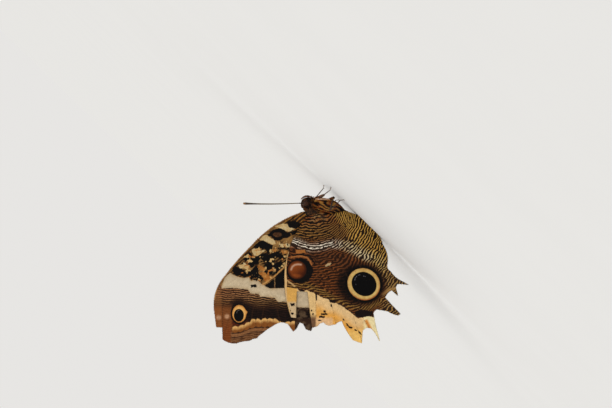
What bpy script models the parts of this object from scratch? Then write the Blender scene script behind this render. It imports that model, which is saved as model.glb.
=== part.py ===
"""Owl butterfly at rest, wings closed over its back, life size.

Metres, +Z up.  +X is the way the head points, +Y is the insect's own left.
Z = 0 is the level that the four walking feet and the lower edges of the two
hindwings stand on.  The sizes below are in millimetres and are turned into
metres where the meshes are made.
"""
import math

import bmesh
import bpy
from mathutils import Vector
from mathutils.geometry import delaunay_2d_cdt

NAME = "owl_butterfly"
MM = 0.001

# ---------------------------------------------------------------- dimensions
GAP = 0.35               # clearance between neighbouring solids
WING_THICKNESS = 0.56
FORE_LAYER = 0.60        # how far each flat layer of wing lies from the middle
HIND_LAYER = 1.52
LAYER_LEAN = 0.010       # the closed wings part slightly toward their tips

WING_BASE = (21.0, 15.0)         # x, z of the wing hinge
FLAT_EDGE = 0.08                 # lower than this counts as standing on Z = 0

# Wing corners are given from the hinge: bearing in degrees from straight up,
# positive toward the tail, then reach.  A third number is how far the edge
# that follows swells outward.
FORE_COSTA = ((-53.0, 1.5), (-46.5, 5.5, 2.2), (-17.3, 36.7, 0.45), (-10.1, 56.4, 1.9),
              (-1.7, 71.7))
FORE_APEX_TEARS = ((3.9, 77.8), (5.8, 76.0), (8.7, 80.9, 0.6))
FORE_OUTER = ((13.6, 78.8, -0.3), (17.6, 74.4, -0.3), (20.0, 71.5, -0.3),
              (21.3, 68.1, -0.2), (23.7, 63.7, -0.2), (27.3, 59.7, -0.3), (31.3, 59.4))
FORE_TORNUS_TEARS = ((34.5, 62.7), (35.9, 60.9), (37.0, 57.6), (38.9, 58.1),
                     (40.6, 60.9), (43.0, 61.6), (44.5, 57.1))
FORE_INNER = ((45.8, 50.9, 1.5), (120.0, 3.6))

HIND_COSTA = ((-13.0, 4.0, 7.0), (32.2, 55.7))
HIND_STRIPS = ((34.7, 55.5), (32.2, 41.9), (40.0, 41.4), (42.9, 56.1), (43.5, 59.9),
               (46.2, 59.2, -0.5), (49.5, 57.4, 0.3), (52.0, 59.4), (55.2, 59.3, -0.3),
               (58.8, 58.4, 0.4), (61.4, 69.6), (64.3, 72.5), (66.7, 66.5), (68.7, 66.0),
               (70.6, 67.4, -0.4), (71.3, 75.4), (72.6, 68.0))
HIND_TAILS = ((74.6, 61.4, -0.4), (77.2, 60.3), (81.1, 64.6, 0.3), (83.5, 69.5), (84.6, 69.6),
              (84.3, 64.4), (84.1, 58.0, -0.5), (89.2, 57.6), (89.5, 61.8), (91.5, 58.2),
              (93.4, 57.5), (94.9, 59.2), (96.7, 62.3), (96.0, 57.8, -0.5))
HIND_INNER = ((96.6, 50.7, -0.6), (98.5, 47.3, 1.2), (109.1, 39.8, 0.5), (115.1, 35.3),
              (129.8, 23.4), (136.0, 16.7))
HIND_ROOT = ((124.0, 8.9), (125.5, 4.3))

# Body stations along its bent middle line: x, z, half width, half depth.
HEAD = ((28.6, 16.2, 0.9, 1.2), (28.0, 15.7, 1.9, 2.3), (27.2, 14.9, 2.45, 3.0),
        (26.3, 14.0, 2.65, 3.35), (25.4, 13.1, 2.4, 3.2), (24.6, 12.4, 1.9, 2.6))
THORAX = ((24.2, 12.0, 2.0, 2.6), (23.3, 11.25, 3.0, 3.4), (22.0, 10.6, 3.7, 4.0),
          (19.8, 9.6, 4.1, 4.5), (17.3, 8.2, 4.3, 4.7), (14.8, 6.7, 4.0, 4.3),
          (12.4, 5.6, 3.3, 3.4), (10.2, 4.9, 2.2, 2.4))
ABDOMEN = ((9.8, 4.9, 2.1, 2.3), (8.2, 4.6, 2.6, 2.7), (5.0, 4.4, 2.9, 2.9),
           (1.0, 4.3, 3.0, 3.0), (-3.5, 4.3, 2.8, 2.8), (-8.0, 4.4, 2.3, 2.3),
           (-11.5, 4.6, 1.6, 1.7), (-13.6, 4.8, 0.7, 0.8))

EYE_CENTRE = (26.8, 2.30, 14.5)
EYE_RADII = (1.70, 1.15, 1.85)
PALP_RADIUS = 0.55
ANTENNA_BASE = (29.1, 0.8, 16.4)
ANTENNA_TIP = (50.2, 5.0, 37.0)
ANTENNA_RADIUS = 0.27
CLUB_RADIUS = 0.48
CLUB_LENGTH = 7.0

# Walking legs: hip, knee, ankle and toe (x, distance from the middle, z).
MID_RIGHT = ((23.2, 1.8, 5.1), (23.7, 6.8, 7.8), (22.6, 11.0, 1.5), (23.2, 13.4, 0.24))
MID_LEFT = ((23.6, 1.8, 5.5), (25.2, 6.8, 8.2), (25.7, 11.0, 1.5), (26.5, 13.4, 0.24))
HIND_RIGHT = ((18.6, 2.3, 2.3), (15.4, 7.6, 8.7), (15.2, 11.0, 1.5), (14.2, 13.4, 0.24))
HIND_LEFT = ((18.8, 2.3, 2.3), (16.4, 7.6, 8.3), (16.6, 11.0, 1.5), (15.6, 13.4, 0.24))
FRONT_LEG = ((24.9, 2.9, 9.6), (23.2, 3.5, 7.9), (21.2, 3.9, 6.0), (19.8, 3.8, 4.8))
THIGH_RADIUS, SHIN_RADIUS, TOE_RADIUS, FRONT_RADIUS = 0.55, 0.40, 0.33, 0.36

# ------------------------------------------------------------------- colours
COLOURS = {
    "head": ((0.060, 0.033, 0.018), 0.8), "thorax": ((0.066, 0.033, 0.014), 0.85),
    "abdomen": ((0.085, 0.048, 0.022), 0.85), "eye": ((0.035, 0.015, 0.008), 0.25),
    "palp": ((0.14, 0.055, 0.025), 0.8),
    "antenna": ((0.10, 0.085, 0.04), 0.55), "leg": ((0.13, 0.075, 0.035), 0.6),
    "fore": ((0.20, 0.13, 0.065), 0.75), "hind": ((0.13, 0.085, 0.04), 0.75),
}


def clear_scene():
    for obj in list(bpy.data.objects):
        bpy.data.objects.remove(obj, do_unlink=True)


def material(slot):
    name = "mat_" + slot
    mat = bpy.data.materials.get(name)
    if mat is None:
        colour, rough = COLOURS[slot]
        mat = bpy.data.materials.new(name)
        mat.use_nodes = True
        bsdf = mat.node_tree.nodes["Principled BSDF"]
        bsdf.inputs["Base Color"].default_value = (*colour, 1.0)
        bsdf.inputs["Roughness"].default_value = rough
        bsdf.inputs["Metallic"].default_value = 0.0
        mat.diffuse_color = (*colour, 1.0)
    return mat


def add_object(name, bm, slot, smooth=True):
    """Scale the millimetre mesh to metres and put it in the collection."""
    bmesh.ops.scale(bm, vec=(MM, MM, MM), verts=bm.verts)
    bmesh.ops.recalc_face_normals(bm, faces=bm.faces)
    mesh = bpy.data.meshes.new(name)
    bm.to_mesh(mesh)
    bm.free()
    if smooth:
        mesh.shade_smooth()
        mesh.set_sharp_from_angle(angle=math.radians(40))
    mesh.materials.append(material(slot))
    obj = bpy.data.objects.new(name, mesh)
    parts.objects.link(obj)
    obj.parent = root
    return obj


# ---------------------------------------------------------------------- body
def smooth_stations(stations, per_span):
    """Catmull-Rom through the stations, every value alike."""
    rows = [stations[0], *stations, stations[-1]]
    out = []
    for i in range(1, len(rows) - 2):
        p0, p1, p2, p3 = rows[i - 1:i + 3]
        for j in range(per_span):
            t = j / per_span
            out.append(tuple(
                0.5 * (2 * b + (c - a) * t + (2 * a - 5 * b + 4 * c - d) * t * t
                       + (3 * b - a - 3 * c + d) * t ** 3)
                for a, b, c, d in zip(p0, p1, p2, p3)))
    out.append(stations[-1])
    return out


def loft(stations, per_span, sides):
    """Ellipse sections square to the bent middle line, closed at both ends."""
    rows = smooth_stations(stations, per_span)
    bm = bmesh.new()
    rings = []
    for i, (x, z, half_w, half_d) in enumerate(rows):
        a, b = rows[max(i - 1, 0)], rows[min(i + 1, len(rows) - 1)]
        along = Vector((b[0] - a[0], 0, b[1] - a[1])).normalized()
        up = Vector((0, 1, 0)).cross(along)
        ring = []
        for j in range(sides):
            t = 2 * math.pi * j / sides
            ring.append(bm.verts.new(Vector((x, 0, z)) + Vector((0, half_w * math.cos(t), 0))
                                     + up * half_d * math.sin(t)))
        rings.append(ring)
    for r0, r1 in zip(rings, rings[1:]):
        for j in range(sides):
            k = (j + 1) % sides
            bm.faces.new((r0[j], r0[k], r1[k], r1[j]))
    for ring in (rings[0], rings[-1]):
        bm.faces.new(ring)
    bmesh.ops.triangulate(bm, faces=[f for f in bm.faces if len(f.verts) > 4])
    return bm


BODY_ROWS = smooth_stations(THORAX, 3) + smooth_stations(ABDOMEN, 3)


def body_swell(x, z):
    """How far a wing layer at x, z is pushed out sideways to clear the body.

    Each body section counts as a disc whose push fades with distance; below
    the abdomen it fades slowly, which leaves the trough that the folded inner
    edges of the hindwings form round it.
    """
    best = 0.0
    for bx, bz, half_w, half_d in BODY_ROWS:
        dz = (z - bz) * (0.45 if z < bz else 1.0)
        q = ((x - bx) ** 2 + dz * dz) / (half_d * half_d)
        best = max(best, half_w * math.exp(-0.5 * q))
    return best


# --------------------------------------------------------------------- wings
def corner(item):
    bearing, reach = math.radians(item[0]), item[1]
    x = WING_BASE[0] - reach * math.sin(bearing)
    z = WING_BASE[1] + reach * math.cos(bearing)
    return Vector((x, 0.0 if z < FLAT_EDGE else z))


def outline(corners, step):
    """Walk the corners in order; an edge with a swell becomes a shallow arc."""
    pts = []
    for i, item in enumerate(corners):
        a, b = corner(item), corner(corners[(i + 1) % len(corners)])
        swell = item[2] if len(item) > 2 else 0.0
        edge = b - a
        out = Vector((edge.y, -edge.x)).normalized()
        n = max(1, round(edge.length / step))
        for j in range(n):
            t = j / n
            pts.append(a + edge * t + out * swell * 4 * t * (1 - t))
    return pts


def inside(p, poly):
    hit = False
    for a, b in zip(poly, poly[1:] + poly[:1]):
        if (a.y > p.y) != (b.y > p.y) and p.x < (b.x - a.x) * (p.y - a.y) / (b.y - a.y) + a.x:
            hit = not hit
    return hit


def edge_distance(p, poly):
    best = 1e9
    for a, b in zip(poly, poly[1:] + poly[:1]):
        ab = b - a
        t = max(0.0, min(1.0, (p - a).dot(ab) / max(ab.length_squared, 1e-12)))
        best = min(best, (p - a - ab * t).length)
    return best


def fill_points(poly, fine, coarse):
    """A staggered grid inside the outline, closer together beside the body."""
    xs, zs = [p.x for p in poly], [p.y for p in poly]
    pts = []
    for spacing, near_body in ((fine, True), (coarse, False)):
        rows = int((max(zs) - min(zs)) / (spacing * 0.866)) + 1
        cols = int((max(xs) - min(xs)) / spacing) + 2
        for r in range(rows):
            for c in range(cols):
                p = Vector((min(xs) + (c + 0.5 * (r % 2)) * spacing,
                            min(zs) + (r + 0.5) * spacing * 0.866))
                if (body_swell(p.x, p.y) > 0.10) != near_body:
                    continue
                if inside(p, poly) and edge_distance(p, poly) > 0.55 * spacing:
                    pts.append(p)
    return pts


def wing(name, corners, layer, side, slot, step):
    """A flat outline filled, bent round the body, and given its thickness."""
    poly = outline(corners, step)
    verts = poly + fill_points(poly, 1.9, 4.6)
    flat, _, faces, *_ = delaunay_2d_cdt(verts, [], [list(range(len(poly)))], 1, 1e-4)
    bm = bmesh.new()
    sheet = []
    for p in flat:
        y = layer + LAYER_LEAN * max(0.0, p.y - 25.0) + body_swell(p.x, p.y)
        sheet.append(bm.verts.new((p.x, side * (y - WING_THICKNESS / 2), p.y)))
    for f in faces:
        bm.faces.new([sheet[i] for i in f])
    grown = bmesh.ops.extrude_face_region(bm, geom=bm.faces[:])
    bmesh.ops.translate(bm, vec=(0, side * WING_THICKNESS, 0),
                        verts=[g for g in grown["geom"] if isinstance(g, bmesh.types.BMVert)])
    return add_object(name, bm, slot)


# --------------------------------------------------------------------- tubes
def tube(name, points, radii, slot, floor_cut=False):
    """A wire with its own radius at each point, made a mesh with closed caps."""
    curve = bpy.data.curves.new(name + "_path", "CURVE")
    curve.dimensions = "3D"
    curve.bevel_depth = MM
    curve.bevel_resolution = 2
    curve.use_fill_caps = True
    spline = curve.splines.new("POLY")
    spline.points.add(len(points) - 1)
    for sp, p, r in zip(spline.points, points, radii):
        sp.co = (p[0] * MM, p[1] * MM, p[2] * MM, 1.0)
        sp.radius = r
    path = bpy.data.objects.new(name + "_path", curve)
    bpy.context.scene.collection.objects.link(path)
    bpy.context.view_layer.update()
    mesh = bpy.data.meshes.new_from_object(
        path.evaluated_get(bpy.context.evaluated_depsgraph_get()))
    bm = bmesh.new()
    bm.from_mesh(mesh)
    bmesh.ops.transform(bm, matrix=path.matrix_world, verts=bm.verts)
    bpy.data.objects.remove(path, do_unlink=True)
    bpy.data.meshes.remove(mesh)
    bmesh.ops.remove_doubles(bm, verts=bm.verts, dist=2e-6)
    bmesh.ops.scale(bm, vec=(1 / MM,) * 3, verts=bm.verts)
    if floor_cut:
        for v in bm.verts:
            v.co.z = max(v.co.z, 0.0)
    return add_object(name, bm, slot)


def along(points, per_span):
    """Evenly spaced points on the straight lengths between the given ones."""
    out = []
    for a, b in zip(points, points[1:]):
        for j in range(per_span):
            out.append(Vector(a).lerp(Vector(b), j / per_span))
    out.append(Vector(points[-1]))
    return out


def walking_leg(name, joints, side):
    hip, knee, ankle, toe = [Vector((x, side * y, z)) for x, y, z in joints]
    pts, radii = [], []
    for a, b, r0, r1, n in ((hip, knee, THIGH_RADIUS, THIGH_RADIUS * 0.8, 4),
                            (knee, ankle, SHIN_RADIUS * 1.1, SHIN_RADIUS, 4),
                            (ankle, toe, TOE_RADIUS, TOE_RADIUS, 3)):
        for j in range(n):
            t = j / n
            swell = 1.0 + 0.15 * math.sin(math.pi * t)
            pts.append(a.lerp(b, t))
            radii.append((r0 + (r1 - r0) * t) * swell)
    # the foot lies flat for its last stretch
    pts += [toe, toe + Vector(((toe - ankle).x * 0.5, side * 1.3, 0.0))]
    radii += [TOE_RADIUS, TOE_RADIUS * 0.9]
    return tube(name, pts, radii, "leg", floor_cut=True)


def antenna(name, side):
    base = Vector((ANTENNA_BASE[0], side * ANTENNA_BASE[1], ANTENNA_BASE[2]))
    tip = Vector((ANTENNA_TIP[0], side * ANTENNA_TIP[1], ANTENNA_TIP[2]))
    length = (tip - base).length
    pts, radii = [], []
    n = 20
    for i in range(n + 1):
        t = i / n
        p = base.lerp(tip, t)
        p.z += 0.45 * math.sin(math.pi * t)      # a faint bow along the shaft
        left = (1 - t) * length
        club = max(0.0, min(1.0, 1 - (left - 1.0) / CLUB_LENGTH)) if left > 1.0 else 0.35 + 0.65 * left
        pts.append(p)
        radii.append(ANTENNA_RADIUS + (CLUB_RADIUS - ANTENNA_RADIUS) * club)
    return tube(name, pts, radii, "antenna")


def palp(name, side):
    pts = [Vector((x, side * y, z)) for x, y, z in
           ((27.3, 1.0, 10.3), (28.3, 1.1, 10.7), (29.3, 1.1, 11.6), (29.9, 1.0, 12.8), (30.1, 0.9, 14.1))]
    radii = [PALP_RADIUS * f for f in (0.9, 1.05, 1.1, 0.95, 0.55)]
    return tube(name, pts, radii, "palp")


def eye(name, side):
    bm = bmesh.new()
    bmesh.ops.create_uvsphere(bm, u_segments=20, v_segments=12, radius=1.0)
    bmesh.ops.scale(bm, vec=EYE_RADII, verts=bm.verts)
    bmesh.ops.translate(bm, vec=(EYE_CENTRE[0], side * EYE_CENTRE[1], EYE_CENTRE[2]), verts=bm.verts)
    return add_object(name, bm, "eye")


def eye_socket(side):
    """A cutter a little larger than the eye, so the eye sits in the head."""
    bm = bmesh.new()
    bmesh.ops.create_uvsphere(bm, u_segments=20, v_segments=12, radius=1.0)
    bmesh.ops.scale(bm, vec=[r + GAP for r in EYE_RADII], verts=bm.verts)
    bmesh.ops.translate(bm, vec=(EYE_CENTRE[0], side * EYE_CENTRE[1], EYE_CENTRE[2]), verts=bm.verts)
    bmesh.ops.scale(bm, vec=(MM, MM, MM), verts=bm.verts)
    mesh = bpy.data.meshes.new("socket")
    bm.to_mesh(mesh)
    bm.free()
    obj = bpy.data.objects.new("socket_%s" % ("left" if side > 0 else "right"), mesh)
    cutters.objects.link(obj)
    obj.hide_render = True
    obj.display_type = "WIRE"
    return obj


# --------------------------------------------------------------------- build
clear_scene()
parts = bpy.data.collections.new(NAME)
cutters = bpy.data.collections.new(NAME + "_cutters")
bpy.context.scene.collection.children.link(parts)
bpy.context.scene.collection.children.link(cutters)
root = bpy.data.objects.new(NAME + "_root", None)
parts.objects.link(root)

head = add_object("head", loft(HEAD, 2, 18), "head")
for s in (1, -1):
    cut = head.modifiers.new("socket", "BOOLEAN")
    cut.operation = "DIFFERENCE"
    cut.solver = "EXACT"
    cut.object = eye_socket(s)
add_object("thorax", loft(THORAX, 2, 20), "thorax")
add_object("abdomen", loft(ABDOMEN, 2, 16), "abdomen")

FORE = FORE_COSTA + FORE_APEX_TEARS + FORE_OUTER + FORE_TORNUS_TEARS + FORE_INNER
HIND = HIND_COSTA + HIND_STRIPS + HIND_TAILS + HIND_INNER + HIND_ROOT
for side, word in ((1, "left"), (-1, "right")):
    eye("eye_" + word, side)
    palp("palp_" + word, side)
    antenna("antenna_" + word, side)
    wing("forewing_" + word, FORE, FORE_LAYER, side, "fore", 3.0)
    wing("hindwing_" + word, HIND, HIND_LAYER, side, "hind", 2.6)
    front = [(x, side * y, z) for x, y, z in FRONT_LEG]
    tube("leg_front_" + word, front, [FRONT_RADIUS * f for f in (0.9, 1.1, 1.0, 0.85)], "leg")
walking_leg("leg_mid_left", MID_LEFT, 1)
walking_leg("leg_mid_right", MID_RIGHT, -1)
walking_leg("leg_hind_left", HIND_LEFT, 1)
walking_leg("leg_hind_right", HIND_RIGHT, -1)
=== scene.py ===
"""Looks of a life-size owl butterfly (Caligo atreus), at rest with its wings closed over its back.

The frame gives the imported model. Every wing, the body skin and its coat, the
eyes, palps, feelers and legs are modelled here as meshes, in millimetres, with
procedural materials. The wing pattern is drawn as shapes in the plane of the
wings, in steps of 0.52 mm, and carried by the mesh as distances to them.
"""

import math

import bpy
import numpy as np
from mathutils import Matrix, Vector
from mathutils.geometry import delaunay_2d_cdt


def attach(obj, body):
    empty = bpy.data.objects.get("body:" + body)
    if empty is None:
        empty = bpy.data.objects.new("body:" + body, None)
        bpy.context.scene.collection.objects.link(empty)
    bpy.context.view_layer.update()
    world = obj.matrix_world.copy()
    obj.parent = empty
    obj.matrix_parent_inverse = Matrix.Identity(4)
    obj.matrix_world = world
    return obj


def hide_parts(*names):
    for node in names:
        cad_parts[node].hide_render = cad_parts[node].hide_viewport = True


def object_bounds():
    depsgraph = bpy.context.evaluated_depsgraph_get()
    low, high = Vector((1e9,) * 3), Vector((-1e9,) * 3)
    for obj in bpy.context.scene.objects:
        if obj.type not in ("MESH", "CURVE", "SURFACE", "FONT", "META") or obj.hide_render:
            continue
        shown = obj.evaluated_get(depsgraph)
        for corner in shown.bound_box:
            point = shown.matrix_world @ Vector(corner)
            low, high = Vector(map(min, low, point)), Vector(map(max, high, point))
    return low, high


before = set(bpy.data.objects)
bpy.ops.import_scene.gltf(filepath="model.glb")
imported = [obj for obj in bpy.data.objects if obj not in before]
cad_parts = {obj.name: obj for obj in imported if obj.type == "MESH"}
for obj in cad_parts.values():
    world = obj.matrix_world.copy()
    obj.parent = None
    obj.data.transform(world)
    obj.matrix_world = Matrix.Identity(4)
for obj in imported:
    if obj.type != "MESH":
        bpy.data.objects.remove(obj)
cad_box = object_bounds()

MM = 0.001

GAP = 0.35               # clearance between neighbouring solids
WING_THICKNESS = 0.56
FORE_LAYER = 0.60        # how far each flat layer of wing lies from the middle
HIND_LAYER = 1.52
LAYER_LEAN = 0.010       # the closed wings part slightly toward their tips

WING_BASE = (21.0, 15.0)         # x, z of the wing hinge
FLAT_EDGE = 0.08                 # lower than this counts as standing on Z = 0

# Wing corners are given from the hinge: bearing in degrees from straight up,
# positive toward the tail, then reach.  A third number is how far the edge
# that follows swells outward.
FORE_COSTA = ((-53.0, 1.5), (-46.5, 5.5, 2.2), (-17.3, 36.7, 0.45), (-10.1, 56.4, 1.9),
              (-1.7, 71.7))
FORE_APEX_TEARS = ((3.9, 77.8), (5.8, 76.0), (8.7, 80.9, 0.6))
FORE_OUTER = ((13.6, 78.8, -0.3), (17.6, 74.4, -0.3), (20.0, 71.5, -0.3),
              (21.3, 68.1, -0.2), (23.7, 63.7, -0.2), (27.3, 59.7, -0.3), (31.3, 59.4))
FORE_TORNUS_TEARS = ((34.5, 62.7), (35.9, 60.9), (37.0, 57.6), (38.9, 58.1),
                     (40.6, 60.9), (43.0, 61.6), (44.5, 57.1))
FORE_INNER = ((45.8, 50.9, 1.5), (120.0, 3.6))

HIND_COSTA = ((-13.0, 4.0, 7.0), (32.2, 55.7))
HIND_STRIPS = ((34.7, 55.5), (32.2, 41.9), (40.0, 41.4), (42.9, 56.1), (43.5, 59.9),
               (46.2, 59.2, -0.5), (49.5, 57.4, 0.3), (52.0, 59.4), (55.2, 59.3, -0.3),
               (58.8, 58.4, 0.4), (61.4, 69.6), (64.3, 72.5), (66.7, 66.5), (68.7, 66.0),
               (70.6, 67.4, -0.4), (71.3, 75.4), (72.6, 68.0))
HIND_TAILS = ((74.6, 61.4, -0.4), (77.2, 60.3), (81.1, 64.6, 0.3), (83.5, 69.5), (84.6, 69.6),
              (84.3, 64.4), (84.1, 58.0, -0.5), (89.2, 57.6), (89.5, 61.8), (91.5, 58.2),
              (93.4, 57.5), (94.9, 59.2), (96.7, 62.3), (96.0, 57.8, -0.5))
HIND_INNER = ((96.6, 50.7, -0.6), (98.5, 47.3, 1.2), (109.1, 39.8, 0.5), (115.1, 35.3),
              (129.8, 23.4), (136.0, 16.7))
HIND_ROOT = ((124.0, 8.9), (125.5, 4.3))

# Body stations along its bent middle line: x, z, half width, half depth.
HEAD = ((28.6, 16.2, 0.9, 1.2), (28.0, 15.7, 1.9, 2.3), (27.2, 14.9, 2.45, 3.0),
        (26.3, 14.0, 2.65, 3.35), (25.4, 13.1, 2.4, 3.2), (24.6, 12.4, 1.9, 2.6))
THORAX = ((24.2, 12.0, 2.0, 2.6), (23.3, 11.25, 3.0, 3.4), (22.0, 10.6, 3.7, 4.0),
          (19.8, 9.6, 4.1, 4.5), (17.3, 8.2, 4.3, 4.7), (14.8, 6.7, 4.0, 4.3),
          (12.4, 5.6, 3.3, 3.4), (10.2, 4.9, 2.2, 2.4))
ABDOMEN = ((9.8, 4.9, 2.1, 2.3), (8.2, 4.6, 2.6, 2.7), (5.0, 4.4, 2.9, 2.9),
           (1.0, 4.3, 3.0, 3.0), (-3.5, 4.3, 2.8, 2.8), (-8.0, 4.4, 2.3, 2.3),
           (-11.5, 4.6, 1.6, 1.7), (-13.6, 4.8, 0.7, 0.8))

EYE_CENTRE = (26.8, 2.30, 14.5)
EYE_RADII = (1.70, 1.15, 1.85)
PALP_RADIUS = 0.55
ANTENNA_BASE = (29.1, 0.8, 16.4)
ANTENNA_TIP = (50.2, 5.0, 37.0)
ANTENNA_RADIUS = 0.27
CLUB_RADIUS = 0.48
CLUB_LENGTH = 7.0

# Walking legs: hip, knee, ankle and toe (x, distance from the middle, z).
MID_RIGHT = ((23.2, 1.8, 5.1), (23.7, 6.8, 7.8), (22.6, 11.0, 1.5), (23.2, 13.4, 0.24))
MID_LEFT = ((23.6, 1.8, 5.5), (25.2, 6.8, 8.2), (25.7, 11.0, 1.5), (26.5, 13.4, 0.24))
HIND_RIGHT = ((18.6, 2.3, 2.3), (15.4, 7.6, 8.7), (15.2, 11.0, 1.5), (14.2, 13.4, 0.24))
HIND_LEFT = ((18.8, 2.3, 2.3), (16.4, 7.6, 8.3), (16.6, 11.0, 1.5), (15.6, 13.4, 0.24))
FRONT_LEG = ((24.9, 2.9, 9.6), (23.2, 3.5, 7.9), (21.2, 3.9, 6.0), (19.8, 3.8, 4.8))
THIGH_RADIUS, SHIN_RADIUS, TOE_RADIUS, FRONT_RADIUS = 0.55, 0.40, 0.33, 0.36

# ------------------------------------------------------------------- colours
COLOURS = {
    "head": ((0.060, 0.033, 0.018), 0.8), "thorax": ((0.066, 0.033, 0.014), 0.85),
    "abdomen": ((0.085, 0.048, 0.022), 0.85), "eye": ((0.035, 0.015, 0.008), 0.25),
    "palp": ((0.14, 0.055, 0.025), 0.8),
    "antenna": ((0.10, 0.085, 0.04), 0.55), "leg": ((0.13, 0.075, 0.035), 0.6),
    "fore": ((0.20, 0.13, 0.065), 0.75), "hind": ((0.13, 0.085, 0.04), 0.75),
}




def smooth_stations(stations, per_span):
    """Catmull-Rom through the stations, every value alike."""
    rows = [stations[0], *stations, stations[-1]]
    out = []
    for i in range(1, len(rows) - 2):
        p0, p1, p2, p3 = rows[i - 1:i + 3]
        for j in range(per_span):
            t = j / per_span
            out.append(tuple(
                0.5 * (2 * b + (c - a) * t + (2 * a - 5 * b + 4 * c - d) * t * t
                       + (3 * b - a - 3 * c + d) * t ** 3)
                for a, b, c, d in zip(p0, p1, p2, p3)))
    out.append(stations[-1])
    return out


BODY_ROWS = smooth_stations(THORAX, 3) + smooth_stations(ABDOMEN, 3)


def corner(item):
    bearing, reach = math.radians(item[0]), item[1]
    x = WING_BASE[0] - reach * math.sin(bearing)
    z = WING_BASE[1] + reach * math.cos(bearing)
    return Vector((x, 0.0 if z < FLAT_EDGE else z))


def outline(corners, step):
    """Walk the corners in order; an edge with a swell becomes a shallow arc."""
    pts = []
    for i, item in enumerate(corners):
        a, b = corner(item), corner(corners[(i + 1) % len(corners)])
        swell = item[2] if len(item) > 2 else 0.0
        edge = b - a
        out = Vector((edge.y, -edge.x)).normalized()
        n = max(1, round(edge.length / step))
        for j in range(n):
            t = j / n
            pts.append(a + edge * t + out * swell * 4 * t * (1 - t))
    return pts




# ------------------------------------------------------------------- numbers
def rgb(r, g, b):
    """A colour as the eye reads it, 0 to 255, turned linear."""
    c = np.array([r, g, b], float) / 255
    return np.where(c <= 0.04045, c / 12.92, ((c + 0.055) / 1.055) ** 2.4)


def lattice(i, j, k, seed):
    n = (i * 374761393 + j * 668265263 + k * 1274126177 + seed * 974634777) & 0x7FFFFFFF
    n = ((n ^ (n >> 13)) * 1103515245) & 0x7FFFFFFF
    return ((n ^ (n >> 16)) & 0xFFFF) / 32767.5 - 1.0


def noise(p, size, seed=0, octaves=2):
    """Smooth noise from -1 to 1 at points p, with lumps about that size."""
    p = np.asarray(p, float)
    if p.shape[1] == 2:
        p = np.column_stack([p, np.zeros(len(p))])
    total, amp, norm = np.zeros(len(p)), 1.0, 0.0
    for o in range(octaves):
        q = p * (2 ** o / size) + 17.3 * o + 0.37
        i = np.floor(q).astype(np.int64)
        f = q - i
        f = f * f * (3 - 2 * f)
        acc = np.zeros(len(p))
        for dx in (0, 1):
            wx = f[:, 0] if dx else 1 - f[:, 0]
            for dy in (0, 1):
                wy = f[:, 1] if dy else 1 - f[:, 1]
                for dz in (0, 1):
                    wz = f[:, 2] if dz else 1 - f[:, 2]
                    acc += wx * wy * wz * lattice(i[:, 0] + dx, i[:, 1] + dy, i[:, 2] + dz, seed + 31 * o)
        total += amp * acc
        norm += amp
        amp *= 0.5
    return total / norm


def segment_distance(p, a, b):
    ab = b - a
    t = np.clip(((p - a) @ ab) / max(ab @ ab, 1e-12), 0, 1)
    d = p - a - t[:, None] * ab
    return np.sqrt((d * d).sum(1))


def poly_d(p, poly):
    """Signed distance to a closed shape, negative inside."""
    poly = np.asarray(poly, float)
    best = np.full(len(p), 1e9)
    inside = np.zeros(len(p), bool)
    x, y = p[:, 0], p[:, 1]
    for a, b in zip(poly, np.roll(poly, -1, 0)):
        best = np.minimum(best, segment_distance(p, a, b))
        if a[1] != b[1]:
            hit = ((a[1] > y) != (b[1] > y)) & (x < (b[0] - a[0]) * (y - a[1]) / (b[1] - a[1]) + a[0])
            inside ^= hit
    return np.where(inside, -best, best)


def line_d(p, pts):
    pts = np.asarray(pts, float)
    best = np.full(len(p), 1e9)
    for a, b in zip(pts, pts[1:]):
        best = np.minimum(best, segment_distance(p, a, b))
    return best


def oval_d(p, centre, rx, ry, turn=0.0):
    c, s = math.cos(math.radians(turn)), math.sin(math.radians(turn))
    d = p - np.array(centre)
    u, v = d[:, 0] * c + d[:, 1] * s, -d[:, 0] * s + d[:, 1] * c
    return (np.sqrt((u / rx) ** 2 + (v / ry) ** 2) - 1) * min(rx, ry)


def soft(d, width):
    t = np.clip(0.5 - d / (2 * width), 0, 1)
    return t * t * (3 - 2 * t)


def blend(a, b, t):
    return a + (b - a) * np.asarray(t)[..., None]


# ------------------------------------------------------------------ meshes
def mesh_piece(name, verts, faces, nodes=(), uv=None, fields=None, material=None, smooth=True):
    """A mesh in millimetres; fields are values carried by its points."""
    verts = np.asarray(verts, float) * MM
    faces = [np.asarray(f, np.int32) for f in faces if len(f)]
    loops = np.concatenate([f.ravel() for f in faces])
    sizes = np.concatenate([np.full(len(f), f.shape[1]) for f in faces])
    starts = np.concatenate([[0], np.cumsum(sizes)[:-1]]).astype(np.int32)
    me = bpy.data.meshes.new(name)
    me.vertices.add(len(verts))
    me.vertices.foreach_set("co", verts.ravel())
    me.loops.add(len(loops))
    me.loops.foreach_set("vertex_index", loops)
    me.polygons.add(len(sizes))
    me.polygons.foreach_set("loop_start", starts)
    me.update(calc_edges=True)
    me.validate()
    if smooth:
        me.shade_smooth()
    if uv is not None:
        layer = me.uv_layers.new(name="OFBake")
        layer.data.foreach_set("uv", np.asarray(uv, np.float32)[loops].ravel())
    for key, values in (fields or {}).items():
        values = np.asarray(values, np.float32)
        if values.ndim == 1:
            me.attributes.new(key, "FLOAT", "POINT").data.foreach_set("value", values)
        else:
            if values.shape[1] == 3:
                values = np.column_stack([values, np.ones(len(values), np.float32)])
            me.attributes.new(key, "FLOAT_COLOR", "POINT").data.foreach_set(
                "color", np.ascontiguousarray(values, np.float32).ravel())
    ob = bpy.data.objects.new(name, me)
    bpy.context.scene.collection.objects.link(ob)
    if material:
        me.materials.append(material)
    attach(ob, "root")
    if nodes:
        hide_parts(*nodes)
    return ob


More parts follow.
